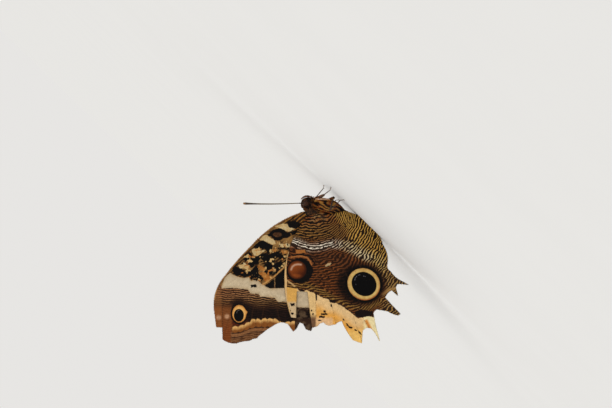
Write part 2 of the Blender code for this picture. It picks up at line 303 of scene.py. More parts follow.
class Shader:
    """A small helper for building one procedural material."""

    def __init__(self, name, **values):
        self.mat = bpy.data.materials.new(name)
        self.mat.use_nodes = True
        self.tree = self.mat.node_tree
        self.tree.nodes.clear()
        self.out = self.tree.nodes.new("ShaderNodeOutputMaterial")
        self.bsdf = self.tree.nodes.new("ShaderNodeBsdfPrincipled")
        self.tree.links.new(self.bsdf.outputs[0], self.out.inputs[0])
        self.coords = self.tree.nodes.new("ShaderNodeTexCoord").outputs["Object"]
        for key, value in values.items():
            self.put(self.bsdf, key.replace("_", " "), value)

    def put(self, node, key, value):
        socket = node.inputs[key]
        if isinstance(value, bpy.types.NodeSocket):
            self.tree.links.new(value, socket)
        elif hasattr(socket.default_value, "__len__") and hasattr(value, "__len__") \
                and len(socket.default_value) == 4 and len(value) == 3:
            socket.default_value = (*value, 1.0)
        else:
            socket.default_value = value

    def add(self, kind, inputs, **props):
        node = self.tree.nodes.new("ShaderNode" + kind)
        for key, value in props.items():
            setattr(node, key, value)
        for key, value in inputs.items():
            self.put(node, key, value)
        return node

    def field(self, name):
        return self.add("Attribute", {}, attribute_name=name).outputs["Fac"]

    def colour(self, name):
        return self.add("Attribute", {}, attribute_name=name).outputs["Color"]

    def alpha(self, name):
        return self.add("Attribute", {}, attribute_name=name).outputs["Alpha"]

    def noise(self, size, detail=2.0, rough=0.5, coords=None):
        return self.add("TexNoise", {"Vector": coords or self.coords, "Scale": 1 / (size * MM),
                                     "Detail": detail, "Roughness": rough}).outputs[0]

    def cells(self, size):
        return self.add("TexVoronoi", {"Vector": self.coords, "Scale": 1 / (size * MM)}).outputs["Distance"]

    def math(self, op, a, b=0.0, c=None):
        inputs = {0: a, 1: b}
        if c is not None:
            inputs[2] = c
        return self.add("Math", inputs, operation=op).outputs[0]

    def step(self, value, lo, hi, a=0.0, b=1.0):
        return self.add("MapRange", {"Value": value, "From Min": lo, "From Max": hi, "To Min": a, "To Max": b},
                        interpolation_type="SMOOTHSTEP").outputs[0]

    def mix(self, fac, a, b, kind="MIX"):
        return self.add("Mix", {0: fac, 6: a, 7: b}, data_type="RGBA", blend_type=kind).outputs[2]

    def bump(self, height, strength, distance):
        node = self.add("Bump", {"Height": height, "Strength": strength, "Distance": distance * MM})
        self.tree.links.new(node.outputs[0], self.bsdf.inputs["Normal"])

    def finish(self, colour, rough=None):
        self.put(self.bsdf, "Base Color", colour)
        if rough is not None:
            self.put(self.bsdf, "Roughness", rough)
        return self.mat


# ------------------------------------------------------------- wing pattern
def to_plane(p):
    """Model x, z in mm to the pattern's own plane."""
    s = 412.9 - p[:, 0] / 0.52
    n = p[:, 1] / 0.52 - 93.7
    return np.column_stack([0.7193 * s - 0.6947 * n, 0.6947 * s + 0.7193 * n])


class Pattern:
    """Ground colour with fine lines, then marks laid over it in a fixed order."""
    LAYERS = ("pale", "dark", "warm", "ring", "pupil", "glint")

    def __init__(self, p):
        n = len(p)
        self.p = p
        self.tone = np.zeros((n, 3))
        self.line = np.zeros((n, 3))
        self.amount = np.zeros(n)
        self.phase = np.zeros(n)
        self.vein = np.full(n, 9.0)
        self.d = {k: np.full(n, 9.0) for k in self.LAYERS}
        self.colour = {k: np.zeros((n, 3)) for k in self.LAYERS}

    def ground(self, tone, mask=None):
        self.tone = blend(self.tone, np.asarray(tone), 1.0 if mask is None else mask)

    def lines(self, tone, amount, mask):
        self.line = blend(self.line, np.asarray(tone), mask)
        self.amount = self.amount + (amount - self.amount) * mask

    def lay(self, layer, d, colour):
        colour = np.broadcast_to(np.asarray(colour, float), (len(self.p), 3))
        nearer = d < self.d[layer]
        self.colour[layer] = np.where(nearer[:, None], colour, self.colour[layer])
        self.d[layer] = np.minimum(self.d[layer], d)

    def fields(self):
        out = {"tone": self.tone, "line": np.column_stack([self.line, self.amount]),
               "phase": self.phase, "vein": self.vein}
        for k in self.LAYERS:
            out[k] = np.clip(self.d[k], -6, 6)
            out[k + "_tone"] = self.colour[k]
        return out


FORE_BLACK = (
    ((266.7, 235.2), (270.8, 231.4), (274.9, 229), (279.6, 228.1), (283.7, 229.6), (287.2, 232.2),
     (290.1, 233.1), (291.3, 235.5), (287.2, 238.4), (283.7, 238.4), (280.2, 240.2), (276.6, 240.8),
     (273.7, 239.6), (271.4, 236.6), (268.4, 236.4)),
    ((253.2, 246.6), (256.7, 243.1), (259, 241.3), (263.2, 240.2), (266.7, 242.5), (270.2, 244.6),
     (273.1, 245.4), (272.5, 248.4), (270.2, 253.1), (267.8, 255.4), (266.7, 250.7), (264.3, 249.6),
     (260.8, 250.1), (256.7, 249)),
    ((243.2, 259.5), (245.6, 254.2), (249.1, 251.9), (251.4, 253.7), (253.8, 256.6), (257.3, 256),
     (260.8, 254.2), (265.5, 252.5), (269, 255.4), (272.5, 253.1), (277.2, 250.7), (281.3, 254.2),
     (284.9, 256.6), (284.9, 258.9), (281.3, 259.5), (278.4, 257.8), (274.3, 257.2), (274.9, 262.5),
     (273.1, 265.4), (269, 264.8), (266.7, 262.5), (263.2, 261.9), (260.8, 258.4), (258.5, 260.7),
     (259, 263.6), (254.9, 264.8), (252.6, 267.7), (248.5, 267.2), (246.1, 262.5)),
    ((231.9, 270), (235.9, 266), (239.8, 268), (245.1, 270.6), (250.4, 271.3), (253.1, 268),
     (255.8, 265.3), (258.4, 266), (258.4, 272), (261.1, 275.9), (263.7, 278.6), (261.7, 281.9),
     (259.1, 279.9), (254.4, 277.3), (251.1, 280.6), (249.1, 276.6), (243.8, 277.3), (241.2, 275.3),
     (237.2, 275.9), (233.9, 273.9)),
    ((262.4, 270.6), (270, 269.5), (278.3, 271), (277, 274), (268, 275), (262.4, 273.4)),
    ((264, 263), (272, 264), (280, 261.5), (285, 262), (285, 265), (280.5, 270), (272, 272.5), (265, 268)),
    ((264.4, 285.6), (269, 282.4), (274.3, 278.8), (274.4, 288), (270.7, 288.4), (267, 287.4)),
    ((275, 278.2), (284.3, 269), (287.5, 266.5), (287.5, 288), (275.2, 288)),
    ((250.4, 284.6), (256, 284), (257.1, 287), (251, 287.5)),
    ((277.8, 248.2), (289.6, 248.0), (289.6, 249.6), (277.8, 249.6)),
    ((286, 222), (292, 220.5), (299, 222.5), (301, 226), (297, 228.5), (289, 228)),
    ((290, 232), (297, 230), (305, 231.5), (300, 234.5), (292, 235)),
)
FORE_CREAM = (
    ((274.3, 226.1), (283.1, 224), (287.8, 224.6), (291.3, 227.8), (294.8, 229), (289, 231.4),
     (284.9, 230.8), (282.5, 229), (278.4, 227.3)),
    ((259.6, 239.6), (263.7, 235.5), (266.7, 235.5), (270.2, 237.8), (274.3, 240.8), (275.5, 243.7),
     (272, 244.3), (267.8, 242.5), (264.3, 240.8)),
    ((251.7, 249.6), (254.4, 248.4), (257.9, 250.7), (265.5, 250.7), (260.8, 253.1), (257.9, 256),
     (254.4, 255.4)),
    ((279, 243.7), (283.7, 244.3), (283.5, 247.2), (279.3, 246.9)),
    ((285.5, 243.7), (289.6, 244.2), (289.4, 247.2), (285.7, 247)),
    ((238.5, 265.4), (242, 264.2), (246.7, 265.6), (246, 268.3), (240, 268)),
    ((243.5, 262.5), (246, 264), (246.4, 268.6), (243.6, 268)),
)
FORE_ORANGE = (
    ((272, 250.1), (277.2, 248.7), (275.5, 251.9)),
    ((281.3, 251), (287.8, 250.7), (287.4, 253.7), (282, 253.4)),
    ((258.4, 272.6), (263.7, 272), (267.7, 275.3), (271.7, 276.6), (270.3, 279.3), (265, 281.2),
     (263.7, 277.3)),
    ((259.2, 264.8), (262.3, 266.6), (265.4, 269.3), (263.2, 271.8), (260.6, 269.4)),
)
BAND_TOP = ((224.6, 277.9), (229.9, 272.6), (231.9, 273.9), (237.8, 276.6), (243.8, 277.9),
            (249.1, 277.3), (251.1, 281.2), (254.4, 279.3), (258.4, 280.6), (261.1, 283.2),
            (265, 285.9), (271.7, 288.5), (284.9, 287.5), (320, 288.5))
BAND_FOOT = ((221.3, 287.9), (236.5, 287.9), (239.8, 288.5), (247.8, 289.2), (250.4, 293.2),
             (258.4, 293.8), (260.4, 296.5), (274.3, 297.2), (278.3, 301.8), (284.9, 301.1), (290, 304), (297, 307), (312, 307.5), (320, 308))
MARGIN_TOP = ((232.5, 327), (239.2, 326.3), (245.1, 324.4), (247.1, 323), (250.4, 321.7),
              (252.4, 319.7), (257.1, 319.1), (260.4, 320.4), (263.1, 319.1), (274.3, 319.1),
              (279.6, 321.7), (281.6, 323), (286.3, 322.4), (294, 321.7))
MARGIN_FOOT = ((232.5, 331.7), (239.8, 331), (245.1, 329), (250.4, 327), (255.8, 325.7), (271.7, 325.7),
               (280, 327.5), (288, 330), (294, 331))
SMALL_EYE = (239.4, 313.4)

HIND_BORDER = ((285.5, 286.6), (297.8, 288.2), (300.4, 291.3), (303, 291.8), (305.1, 289.2),
               (309.3, 291.3), (312.4, 291.8), (315.6, 294.5), (317.7, 294.5), (319.7, 296),
               (323.9, 297.6), (328.6, 298.6), (330.2, 302.3), (336.5, 302.8), (340.1, 304.4),
               (344.3, 307), (348, 310.1), (352.7, 313.7), (358, 318.3), (365.7, 315.2), (372.5, 316.7))
HIND_SPOTS = (
    ((290, 303.4), (294.6, 303.0), (294.2, 305.4), (291.3, 305.8)),
    ((287.6, 305.8), (289.4, 305.9), (289, 307.4), (287.4, 307.2)),
    ((291, 312.6), (293.6, 312.9), (293.2, 314.5), (291.2, 314.2)),
    ((288.6, 310), (290, 309.6), (290.4, 311.6), (289, 311.8)),
    ((310.8, 309.3), (312.2, 309.6), (312, 311.2), (310.6, 310.8)),
    ((312, 313.2), (313.6, 313.4), (313.4, 315), (312, 314.8)),
    ((300.5, 289), (302.5, 288.6), (302.3, 291.6), (300.8, 291.2)),
    ((315.4, 293.5), (316.7, 293.5), (316.8, 300), (315.6, 300)),
    ((329, 299.4), (335.4, 300.2), (335, 302.2), (329.4, 302)),
    ((330.2, 304.2), (332, 304.4), (331.8, 306.4), (330.3, 306.2)),
    ((354.2, 311.6), (360, 309.5), (366, 310), (372, 311.2), (372.6, 315), (366, 316.4), (361, 317.6),
     (356.5, 316.6)),
    ((320.6, 312.9), (327.2, 313.4), (327, 315), (320.4, 314.5)),
    ((319, 315.6), (324.6, 316.1), (324.2, 317.7), (318.8, 317.2)),
    ((323.2, 310), (325.7, 310.5), (325.4, 312.4), (323.2, 312)),
    ((317.6, 319.3), (321.4, 319.5), (321.2, 320.9), (317.6, 320.7)),
    ((345.4, 322.2), (347.6, 324), (348.6, 326.4), (346.8, 325.9)),
    ((342.4, 318.4), (344, 319.2), (344.2, 320.8), (342.7, 320.2)),
    ((348, 326), (350, 326.4), (352.4, 326.8), (351.6, 328.4), (348.6, 327.6)),
    ((353.9, 328.6), (355.9, 329.0), (356.2, 330.8), (354.4, 330.3)),
    ((357.6, 330.5), (359.4, 331.0), (361.4, 334.6), (359.6, 334.2)),
    ((371.9, 332.8), (373.9, 333.2), (373.7, 335.1), (372, 334.8)),
)
BIG_EYE = (363.5, 284.2)
BALL = (297.0, 269.9)


def soft_spots(p, spots, size):
    d = np.full(len(p), 99.0)
    for s in spots:
        d = np.minimum(d, np.hypot(p[:, 0] - s[0], p[:, 1] - s[1]))
    return soft(d - size, size * 0.6)


def paint_fore(p, edge):
    x, y = p.T
    c = Pattern(p)
    n1, n2, n3 = noise(p, 7.0, 3), noise(p, 2.2, 5), noise(p, 26.0, 8)
    wob = np.column_stack([noise(p, 2.0, 11), noise(p, 2.0, 12)]) * 0.55
    q = p + wob

    # ground of the cell, and the streaks that leave the hinge
    c.ground(rgb(78, 50, 26))
    c.ground(rgb(160, 124, 78), soft(0.20 - n1, 0.22) * 0.85)
    c.ground(rgb(36, 24, 15), soft(0.15 + n1, 0.2) * 0.85)
    c.ground(rgb(40, 26, 16), soft(poly_d(p, ((262, 252), (290, 246), (290, 284), (264, 286))), 4) * soft(0.1 - n2, 0.5))
    near = soft(np.hypot(x - 306, y - 211) - 27, 7)
    c.ground(rgb(47, 30, 17), near)
    along = 0.6 * (x - 308) + 0.8 * (y - 208)
    c.phase = 2 * math.pi * (along + 0.9 * noise(p, 8, 21)) / 3.0
    c.lines(rgb(166, 128, 72), 0.5, np.ones(len(p)))
    c.lines(rgb(158, 112, 52), 0.85, near)

    # the fine waves beyond the band
    below = y > 285
    wave = y + 0.5 * np.sin(x / 2.3) + 0.9 * noise(p, 5, 22) - 0.03 * (x - 216)
    c.phase = np.where(below, 2 * math.pi * wave / 2.25, c.phase)
    right = np.clip((x - 225) / 60, 0, 1)
    c.ground(blend(rgb(66, 40, 25), rgb(34, 21, 13), right), below * 1.0)
    c.lines(blend(rgb(158, 112, 74), rgb(164, 130, 92), right), 0.95, soft(y - 302 - 3 * n1, 7) * below)
    c.lines(rgb(104, 68, 42), 0.5, soft(303 + 3 * n1 - y, 6) * below)
    deep = soft(poly_d(p, ((232, 303), (240, 301), (250, 308), (262, 309), (300, 312), (320, 312), (320, 335), (300, 330), (262, 320),
                           (247, 322), (243, 325), (230, 325), (228, 312))) + 2.0 * n1 - 1.5, 4.0)
    c.ground(blend(rgb(20, 11, 9), rgb(36, 20, 14), np.clip(n2 * 1.3 + 0.4, 0, 1)), deep)
    c.lines(rgb(58, 36, 28), 0.3, deep)
    c.ground(rgb(96, 44, 22), soft(oval_d(p, (239.5, 322.6), 8.5, 3.6), 2.0) * 0.85)

    # apex: plain brown strips with a pale spot each
    tip = soft(x - 232.0 - 1.2 * n2, 1.3) * soft(306 + 2 * n1 - y, 4.5)
    c.ground(rgb(120, 73, 37), tip)
    c.ground(rgb(136, 84, 43), tip * soft(x - 222.4, 0.6))
    c.ground(rgb(120, 66, 29), tip * soft(322 - y, 7) * soft(222.6 - x, 0.8))
    c.lines(rgb(150, 100, 60), 0.35, tip)
    c.ground(rgb(204, 164, 132), soft_spots(p, ((218.9, 317.1), (227.2, 316.1)), 2.2) * 0.8)
    c.ground(rgb(124, 82, 48), soft(x - 221.5, 2) * soft(y - 305, 3) * below * 0.8)

    # pale band
    band = poly_d(q, BAND_TOP + BAND_FOOT[::-1])
    tone = blend(rgb(190, 172, 145), rgb(202, 186, 158), np.clip(n1 + 0.5, 0, 1)) * (1 + 0.10 * noise(p, 0.9, 37))[:, None]
    tone = blend(tone, rgb(168, 142, 104), soft(-1.6 - band, 1.8) * 0.5)
    c.lay("pale", band, tone)
    for shape in FORE_CREAM:
        c.lay("pale", poly_d(q, shape) - 0.25, blend(rgb(198, 178, 138), rgb(186, 154, 102), np.clip(n2 + 0.4, 0, 1)))
    for shape in FORE_BLACK:
        c.lay("dark", poly_d(q, shape) + 0.05, rgb(17, 12, 12))
    speck = -(np.abs(noise(p, 3.4, 31)) - 0.10) * 3.0
    cell = poly_d(p, ((243, 256), (262, 244), (288, 240), (288, 268), (265, 284), (240, 275)))
    c.lay("dark", np.maximum(-(noise(p, 2.6, 33) - 0.40) * 5, cell), rgb(20, 13, 11))
    c.lay("warm", oval_d(q, (277.2, 234.6), 4.5, 2.3), blend(rgb(72, 46, 28), rgb(108, 76, 48), soft(-n2, 0.4)))
    for shape in FORE_ORANGE:
        c.lay("warm", poly_d(q, shape) - 0.1, blend(rgb(186, 136, 76), rgb(152, 92, 38), np.clip(n2 + 0.5, 0, 1)))
    c.lay("warm", np.maximum(-(noise(p, 2.3, 35) - 0.20) * 4, cell + 1), blend(rgb(168, 108, 50), rgb(200, 170, 118), soft(-noise(p, 4, 36), 0.2)))
    c.lay("warm", line_d(q, ((285.6, 265.5), (274.3, 276.6), (262.4, 284.8))) - 0.62, rgb(188, 142, 86))
    c.lay("warm", line_d(q, ((274.6, 278), (274.7, 288))) - 0.3, rgb(150, 120, 84))
    # the front edge of the wing
    costal = (x - 300) * (307 - 214) - (y - 214) * (214 - 300)
    rim = np.where((costal < 0) & (y < 300), edge - 1.0, 9.0)
    c.lay("warm", rim, blend(rgb(170, 126, 72), rgb(120, 80, 44), np.clip(n1 + 0.5, 0, 1)))
    c.lay("pupil", np.where((costal < 0) & (y < 300), np.abs(edge - 1.35) - 0.22, 9.0), rgb(38, 24, 16))

    # submarginal band, its dark lower line, and the mottled margin
    margin = poly_d(p, MARGIN_FOOT + ((311, 330), (311, 350), (205, 350), (205, 331.7)))
    mott = np.clip(0.5 + 1.4 * n2, 0, 1)
    c.ground(blend(rgb(82, 50, 28), rgb(130, 90, 58), mott), soft(margin, 0.6) * (x > 231))
    c.lines(rgb(172, 130, 92), 0.3, soft(margin, 0.6) * (x > 231))
    drops = [line_d(p - np.array((0.0, step)), MARGIN_FOOT) for step in (1.0, 3.3, 5.6)]
    c.ground(rgb(138, 96, 62), soft(drops[1] - 1.1, 0.7) * soft(margin, 0.6) * (x > 231))
    c.ground(rgb(64, 38, 25), soft(drops[2] - 0.6, 0.5) * soft(margin, 0.6) * (x > 231))
    c.lay("dark", np.where(x > 231, drops[0] - 0.7, 9.0), rgb(62, 37, 23))
    orange = poly_d(q, MARGIN_TOP + MARGIN_FOOT[::-1])
    drop = line_d(p, MARGIN_TOP)
    scallop = np.abs(np.sin(x / 1.85)) - 0.6
    tone = blend(rgb(214, 172, 112), rgb(136, 86, 40), np.clip((drop + 0.9 * scallop) / 3.0 - 0.15 + 0.2 * n2, 0, 1))
    tone = blend(tone, rgb(90, 52, 26), soft(scallop + 0.45, 0.16) * 0.6)
    c.lay("warm", orange - 0.7 - 1.1 * scallop, tone)
    ragged = poly_d(p, ((294, 318), (312, 318), (312, 333), (294, 333)))
    c.ground(rgb(58, 38, 26), soft(ragged, 2))
    c.ground(rgb(112, 92, 70), soft(poly_d(p, ((296, 305), (310, 305), (310, 333), (296, 333))), 2) * soft(0.12 - n2, 0.25) * 0.7)
    c.ground(rgb(30, 18, 13), soft(np.abs(x - 222.5) - 0.35, 0.4) * below * 0.7)

    # the small eyespot near the tip
    e = oval_d(q * 0.4 + p * 0.6, SMALL_EYE, 7.0, 8.6)
    nose = poly_d(p, ((243.5, 307.5), (247.6, 311.6), (244.6, 317.5)))
    e = np.minimum(e, nose)
    c.lay("dark", e - 1.7, rgb(28, 15, 11))
    c.lay("ring", e, blend(rgb(222, 176, 108), rgb(196, 138, 72), soft(-1.0 - e, 1.0)))
    c.lay("pupil", oval_d(p, (239.0, 315.0), 5.0, 6.4), rgb(10, 8, 9))
    c.lay("glint", line_d(p, ((236.6, 313), (237.6, 310.6), (239.4, 309.9))) - 0.25, rgb(120, 112, 110))
    return c


def paint_hind(p, edge):
    x, y = p.T
    c = Pattern(p)
    n1, n2 = noise(p, 9.0, 43), noise(p, 2.2, 45)
    wob = np.column_stack([noise(p, 2.0, 51), noise(p, 2.0, 52)]) * 0.5
    q = p + wob
    r = np.hypot(x - 308, y - 208)
    t = np.clip((r - 20) / 30, 0, 1)
    flat = np.clip((y - 255) / 30, 0, 1) * np.clip((378 - x) / 28, 0, 1)
    r = np.hypot((x - 308) * (0.45 + 0.55 * t * t * (3 - 2 * t)) * (1 - 0.62 * flat), y - 208)
    turn = np.degrees(np.arctan2(y - 208, x - 308))       # 0 toward the tail, 90 toward the tips
    around = np.column_stack([r * 0.7, turn * np.clip(r, 20, 200) / 57.3])
    warp = 1.4 * noise(p, 10.0, 61) + 1.6 * noise(around, 4.6, 62, 1) + 0.7 * noise(around, 2.4, 63, 1)
    row = sum(np.interp(x + k, (270, 286, 298, 309, 320, 333, 345), (236, 240, 243, 248, 247, 244, 245)) for k in (-5, 0, 5)) / 3
    row = row + 1.1 * noise(p, 9.0, 68)
    level = soft(np.abs(y - row) - 6, 5) * soft(x - 333, 8)
    c.phase = 2 * math.pi * (r * (1 - level) + (y - row + 41) * level + warp * (1 - 0.45 * level)) / 2.6

    # from the middle brown to the gold-lined inner half
    c.ground(blend(rgb(44, 25, 13), rgb(60, 34, 17), np.clip(n1 + 0.5, 0, 1)))
    c.lines(rgb(140, 84, 42), 0.74, np.ones(len(p)))
    gold = soft(poly_d(p, ((322, 205), (345, 232), (352, 252), (372, 262), (388, 282), (420, 282), (420, 200))), 6.0)
    c.ground(rgb(33, 22, 13), gold)
    c.lines(rgb(190, 150, 76), 1.0, gold)
    upper = soft(y - 240 + 0.0 * x, 5) * (1 - gold)
    c.ground(rgb(31, 20, 13), upper)
    c.lines(blend(rgb(164, 104, 50), rgb(176, 130, 70), soft(222 - y, 8)), 0.64, upper)
    hinge = soft(np.hypot((x - 308) / 1.6, y - 212) - 12, 6)
    c.ground(rgb(24, 15, 9), hinge)
    c.lines(blend(rgb(146, 82, 34), rgb(156, 126, 88), soft(-n2, 0.3)), 0.85, hinge)
    frost = soft(line_d(p, ((286, 240), (298, 243), (309, 248), (320, 247), (333, 244), (345, 245), (356, 251),
                            (368, 257))) - 3.6, 3.4)
    c.lines(rgb(232, 222, 204), 1.0, frost * np.clip(0.9 + 1.1 * noise(p, 3.2, 67), 0.25, 1))
    c.ground(rgb(52, 42, 34), frost * 0.7)
    fade = soft(line_d(p, ((345, 245), (362, 253), (380, 262), (390, 275))) - 5, 5)
    c.lines(rgb(196, 172, 118), 0.95, fade * 0.7)
    hush = soft(poly_d(p, ((300, 252), (330, 252), (350, 256), (350, 268), (330, 264), (306, 262))), 4)
    c.ground(rgb(48, 28, 16), hush)
    c.lines(rgb(130, 80, 44), 0.62, hush)
    low = soft(line_d(p, ((290, 286), (305, 285), (318, 290), (332, 298), (350, 306), (366, 308), (384, 300))) - 3, 3)
    c.lines(rgb(160, 124, 66), 0.85, low)
    tails = soft(poly_d(p, ((384, 262), (420, 262), (420, 345), (378, 345), (376, 314), (386, 300))), 4)
    c.ground(rgb(52, 34, 20), tails)
    c.lines(rgb(172, 138, 84), 0.8, tails)
    torn = soft(line_d(p, ((383, 294), (388, 290), (397, 288))) - 1.5, 1.6)
    c.ground(rgb(172, 136, 88), torn * 0.8)

    # halo and ring of the great eyespot
    turned = 38
    e = oval_d(q * 0.25 + p * 0.75, BIG_EYE, 16.7, 15.5, turned)
    c.ground(rgb(14, 8, 6), soft(oval_d(p, (360.2, 284), 24.5, 20.2), 5) * 0.93)
    c.lines(rgb(66, 38, 22), 0.3, soft(oval_d(p, (360.4, 284), 23.8, 20.2), 4.5))
    c.ground(rgb(8, 5, 5), soft(e - 2.4, 1.2))
    c.lines(rgb(14, 10, 9), 0.0, soft(e - 2.4, 1.2))
    ring = blend(rgb(205, 176, 113), rgb(184, 148, 86), np.clip(n2 + 0.3, 0, 1))
    down = np.clip(((x - 363) * 0.2 + (y - 284) * 0.98) / 15, 0, 1)
    ring = blend(ring, rgb(160, 88, 40), soft(-0.9 - e, 0.9) * (0.35 + 0.65 * down))
    c.lay("ring", e, ring)
    c.lay("pupil", oval_d(p, (363.8, 284.0), 13.0, 11.6, turned), rgb(3, 2, 3))
    for mark in (((354.6, 280.4), (354.8, 278.4), (356.7, 275.9)), ((357.6, 275.2), (360, 274.8)),
                 ((362.9, 276.1), (365.4, 276.3)), ((355.2, 283.4), (355.6, 284.6))):
        c.lay("glint", line_d(p, mark) - 0.22, rgb(132, 128, 134))

    # the ball, lit from its upper left
    b = oval_d(p, BALL, 9.3, 9.2)
    shell = oval_d(p, (299.6, 270.7), 13.2, 12.4)
    c.lay("dark", shell, rgb(17, 11, 10))
    lit = np.clip(((x - BALL[0]) * -0.45 + (y - BALL[1]) * -0.6) / 9 + 0.5, 0, 1)
    ball = blend(rgb(84, 38, 11), rgb(148, 80, 32), lit)
    ball = blend(ball, rgb(166, 92, 40), soft(oval_d(p, (295.2, 276.3), 5.5, 2.2), 1.2) * 0.5)
    ball = blend(ball, rgb(54, 24, 11), soft(-1.7 - b, 1.5) * 0.8)
    arc = line_d(p, ((291.0, 269.6), (292.2, 266.7), (294.6, 264.9), (297.8, 264.3), (301, 264.6)))
    ball = blend(ball, rgb(206, 178, 156), soft(arc - 0.55, 0.9) * 0.9)
    c.lay("ring", b, ball)
    c.lay("warm", line_d(q, ((291, 257.2), (300.9, 255.8), (307.2, 257.8), (309.8, 261), (311.4, 265))) - 0.8,
          rgb(158, 104, 58))
    c.lay("warm", poly_d(q, ((295.7, 250), (305, 249.6), (305.6, 253), (300, 253.4), (295.9, 253.6))),
          rgb(164, 108, 56))
    c.lay("dark", line_d(q, ((292.5, 255.6), (298.3, 254.4), (303.5, 255), (309.3, 256.3), (311.8, 259.4),
                             (314.5, 263.6))) - 0.7, rgb(20, 14, 12))
    c.lay("dark", line_d(q, ((286.5, 249.2), (297, 248.8), (306, 250.6))) - 0.55, rgb(24, 18, 16))
    c.lay("warm", line_d(q, ((286.8, 280.3), (288.9, 281.9), (292, 284), (294.6, 286.1))) - 0.8, rgb(182, 150, 104))
    c.lay("pale", poly_d(q, ((324.5, 266.4), (327.5, 263.2), (331.3, 262.6), (330, 265), (326, 266.7))),
          rgb(182, 156, 118))

    # the torn margin: cream above, orange through the middle, dark V marks
    under = poly_d(q, HIND_BORDER + ((375.5, 318.5), (380, 330), (386, 350), (275, 350), (275, 286.4)))
    cream, orange = rgb(218, 186, 138), rgb(216, 160, 76)
    depth = line_d(p, HIND_BORDER)
    t = soft(9.5 - depth, 5)
    tone = blend(cream, orange, t * (0.65 + 0.35 * np.clip(n1 * 1.5 + 0.5, 0, 1)))
    strip1 = soft(x - 297.0, 0.6)
    tone = blend(tone, blend(rgb(208, 164, 92), rgb(200, 176, 140), soft(302 - y, 2)), strip1)
    strip2 = soft(np.abs(x - 310.5) - 5.3, 0.5) * (1 - strip1)
    tone = blend(tone, blend(rgb(216, 184, 132), rgb(120, 90, 66), soft(316 - y, 3)), strip2)
    pink = soft(np.abs(x - 324) - 8.5, 1) * soft(317.5 - y, 2.5)
    tone = blend(tone, rgb(216, 178, 134), pink)
    tone = blend(tone, rgb(226, 186, 112), soft(330 - y, 4) * soft(347 - x, 2) * soft(x - 366, 1))
    five = soft(363.5 - x, 1.5)
    tone = blend(tone, rgb(228, 213, 168), five)
    tone = blend(tone, rgb(206, 140, 66), five * soft(line_d(p, ((366, 321), (369, 327), (372, 333))) - 1.6, 1.2))
    tone = tone * (1 + 0.10 * n2 + 0.14 * noise(p, 1.0, 47))[:, None]
    c.lay("pale", under, tone)
    c.lay("dark", np.where(x < 376, depth - 0.35 + 0.9 * n2, 9.0), rgb(50, 32, 20))
    for shape in HIND_SPOTS:
        c.lay("dark", poly_d(q, shape) - 0.1, rgb(30, 20, 17))
    for cut in (((315.6, 296), (315.7, 324)), ((331, 303), (333.5, 314), (335.6, 323.5)),
                ((298.6, 290), (297.4, 304), (296.6, 317)), ((352.5, 315), (357, 328), (361.5, 341)),
                ((362.5, 318), (371, 331), (379, 341))):
        c.lay("dark", line_d(p, cut) - 0.16, rgb(112, 76, 46))

    # pale front rim beside the forewing
    rimline = ((287.6, 252), (286.0, 258), (285.2, 265.7), (285, 273.5), (285.8, 281.4), (285.4, 289.2),
               (286.2, 301.3), (289.2, 312))
    front = line_d(p, rimline)
    c.lay("pupil", np.where(x < 291, front - 1.15, 9.0), rgb(206, 172, 122))
    return c


def paint_inside(p, edge, hind):
    """The upper faces, folded together: dark, with a violet sheen painted into the colour."""
    x, y = p.T
    c = Pattern(p)
    n1, n2 = noise(p, 9.0, 73), noise(p, 2.0, 75)
    r = np.hypot(x - 306, y - 211)
    c.ground(blend(rgb(40, 28, 24), rgb(54, 38, 30), np.clip(n1 + 0.5, 0, 1)))
    # painted sheen: a broad violet ring round the hinge
    c.ground(blend(rgb(44, 38, 74), rgb(62, 50, 96), np.clip(n2 + 0.5, 0, 1)), soft(np.abs(r - 52) - 17, 13) * 0.8)
    c.ground(rgb(86, 66, 44), soft(r - 18, 9))
    c.phase = 2 * math.pi * (r + noise(p, 6, 71)) / 5
    c.lines(rgb(70, 54, 60), 0.25, np.ones(len(p)))
    if hind:
        c.ground(blend(rgb(202, 150, 74), rgb(222, 176, 98), np.clip(n1 + 0.5, 0, 1)),
                 soft(90 - r + 4 * n1, 5) * soft(384 - x, 8)[:] * 0 + soft(88 - r + 4 * n1, 5) * (x < 385))
    else:
        c.ground(blend(rgb(150, 132, 150), rgb(186, 164, 150), np.clip(n1 + 0.5, 0, 1)),
                 soft(np.abs((y - 282) - 0.22 * (x - 250)) - 7 + 2 * n1, 4))
    return c


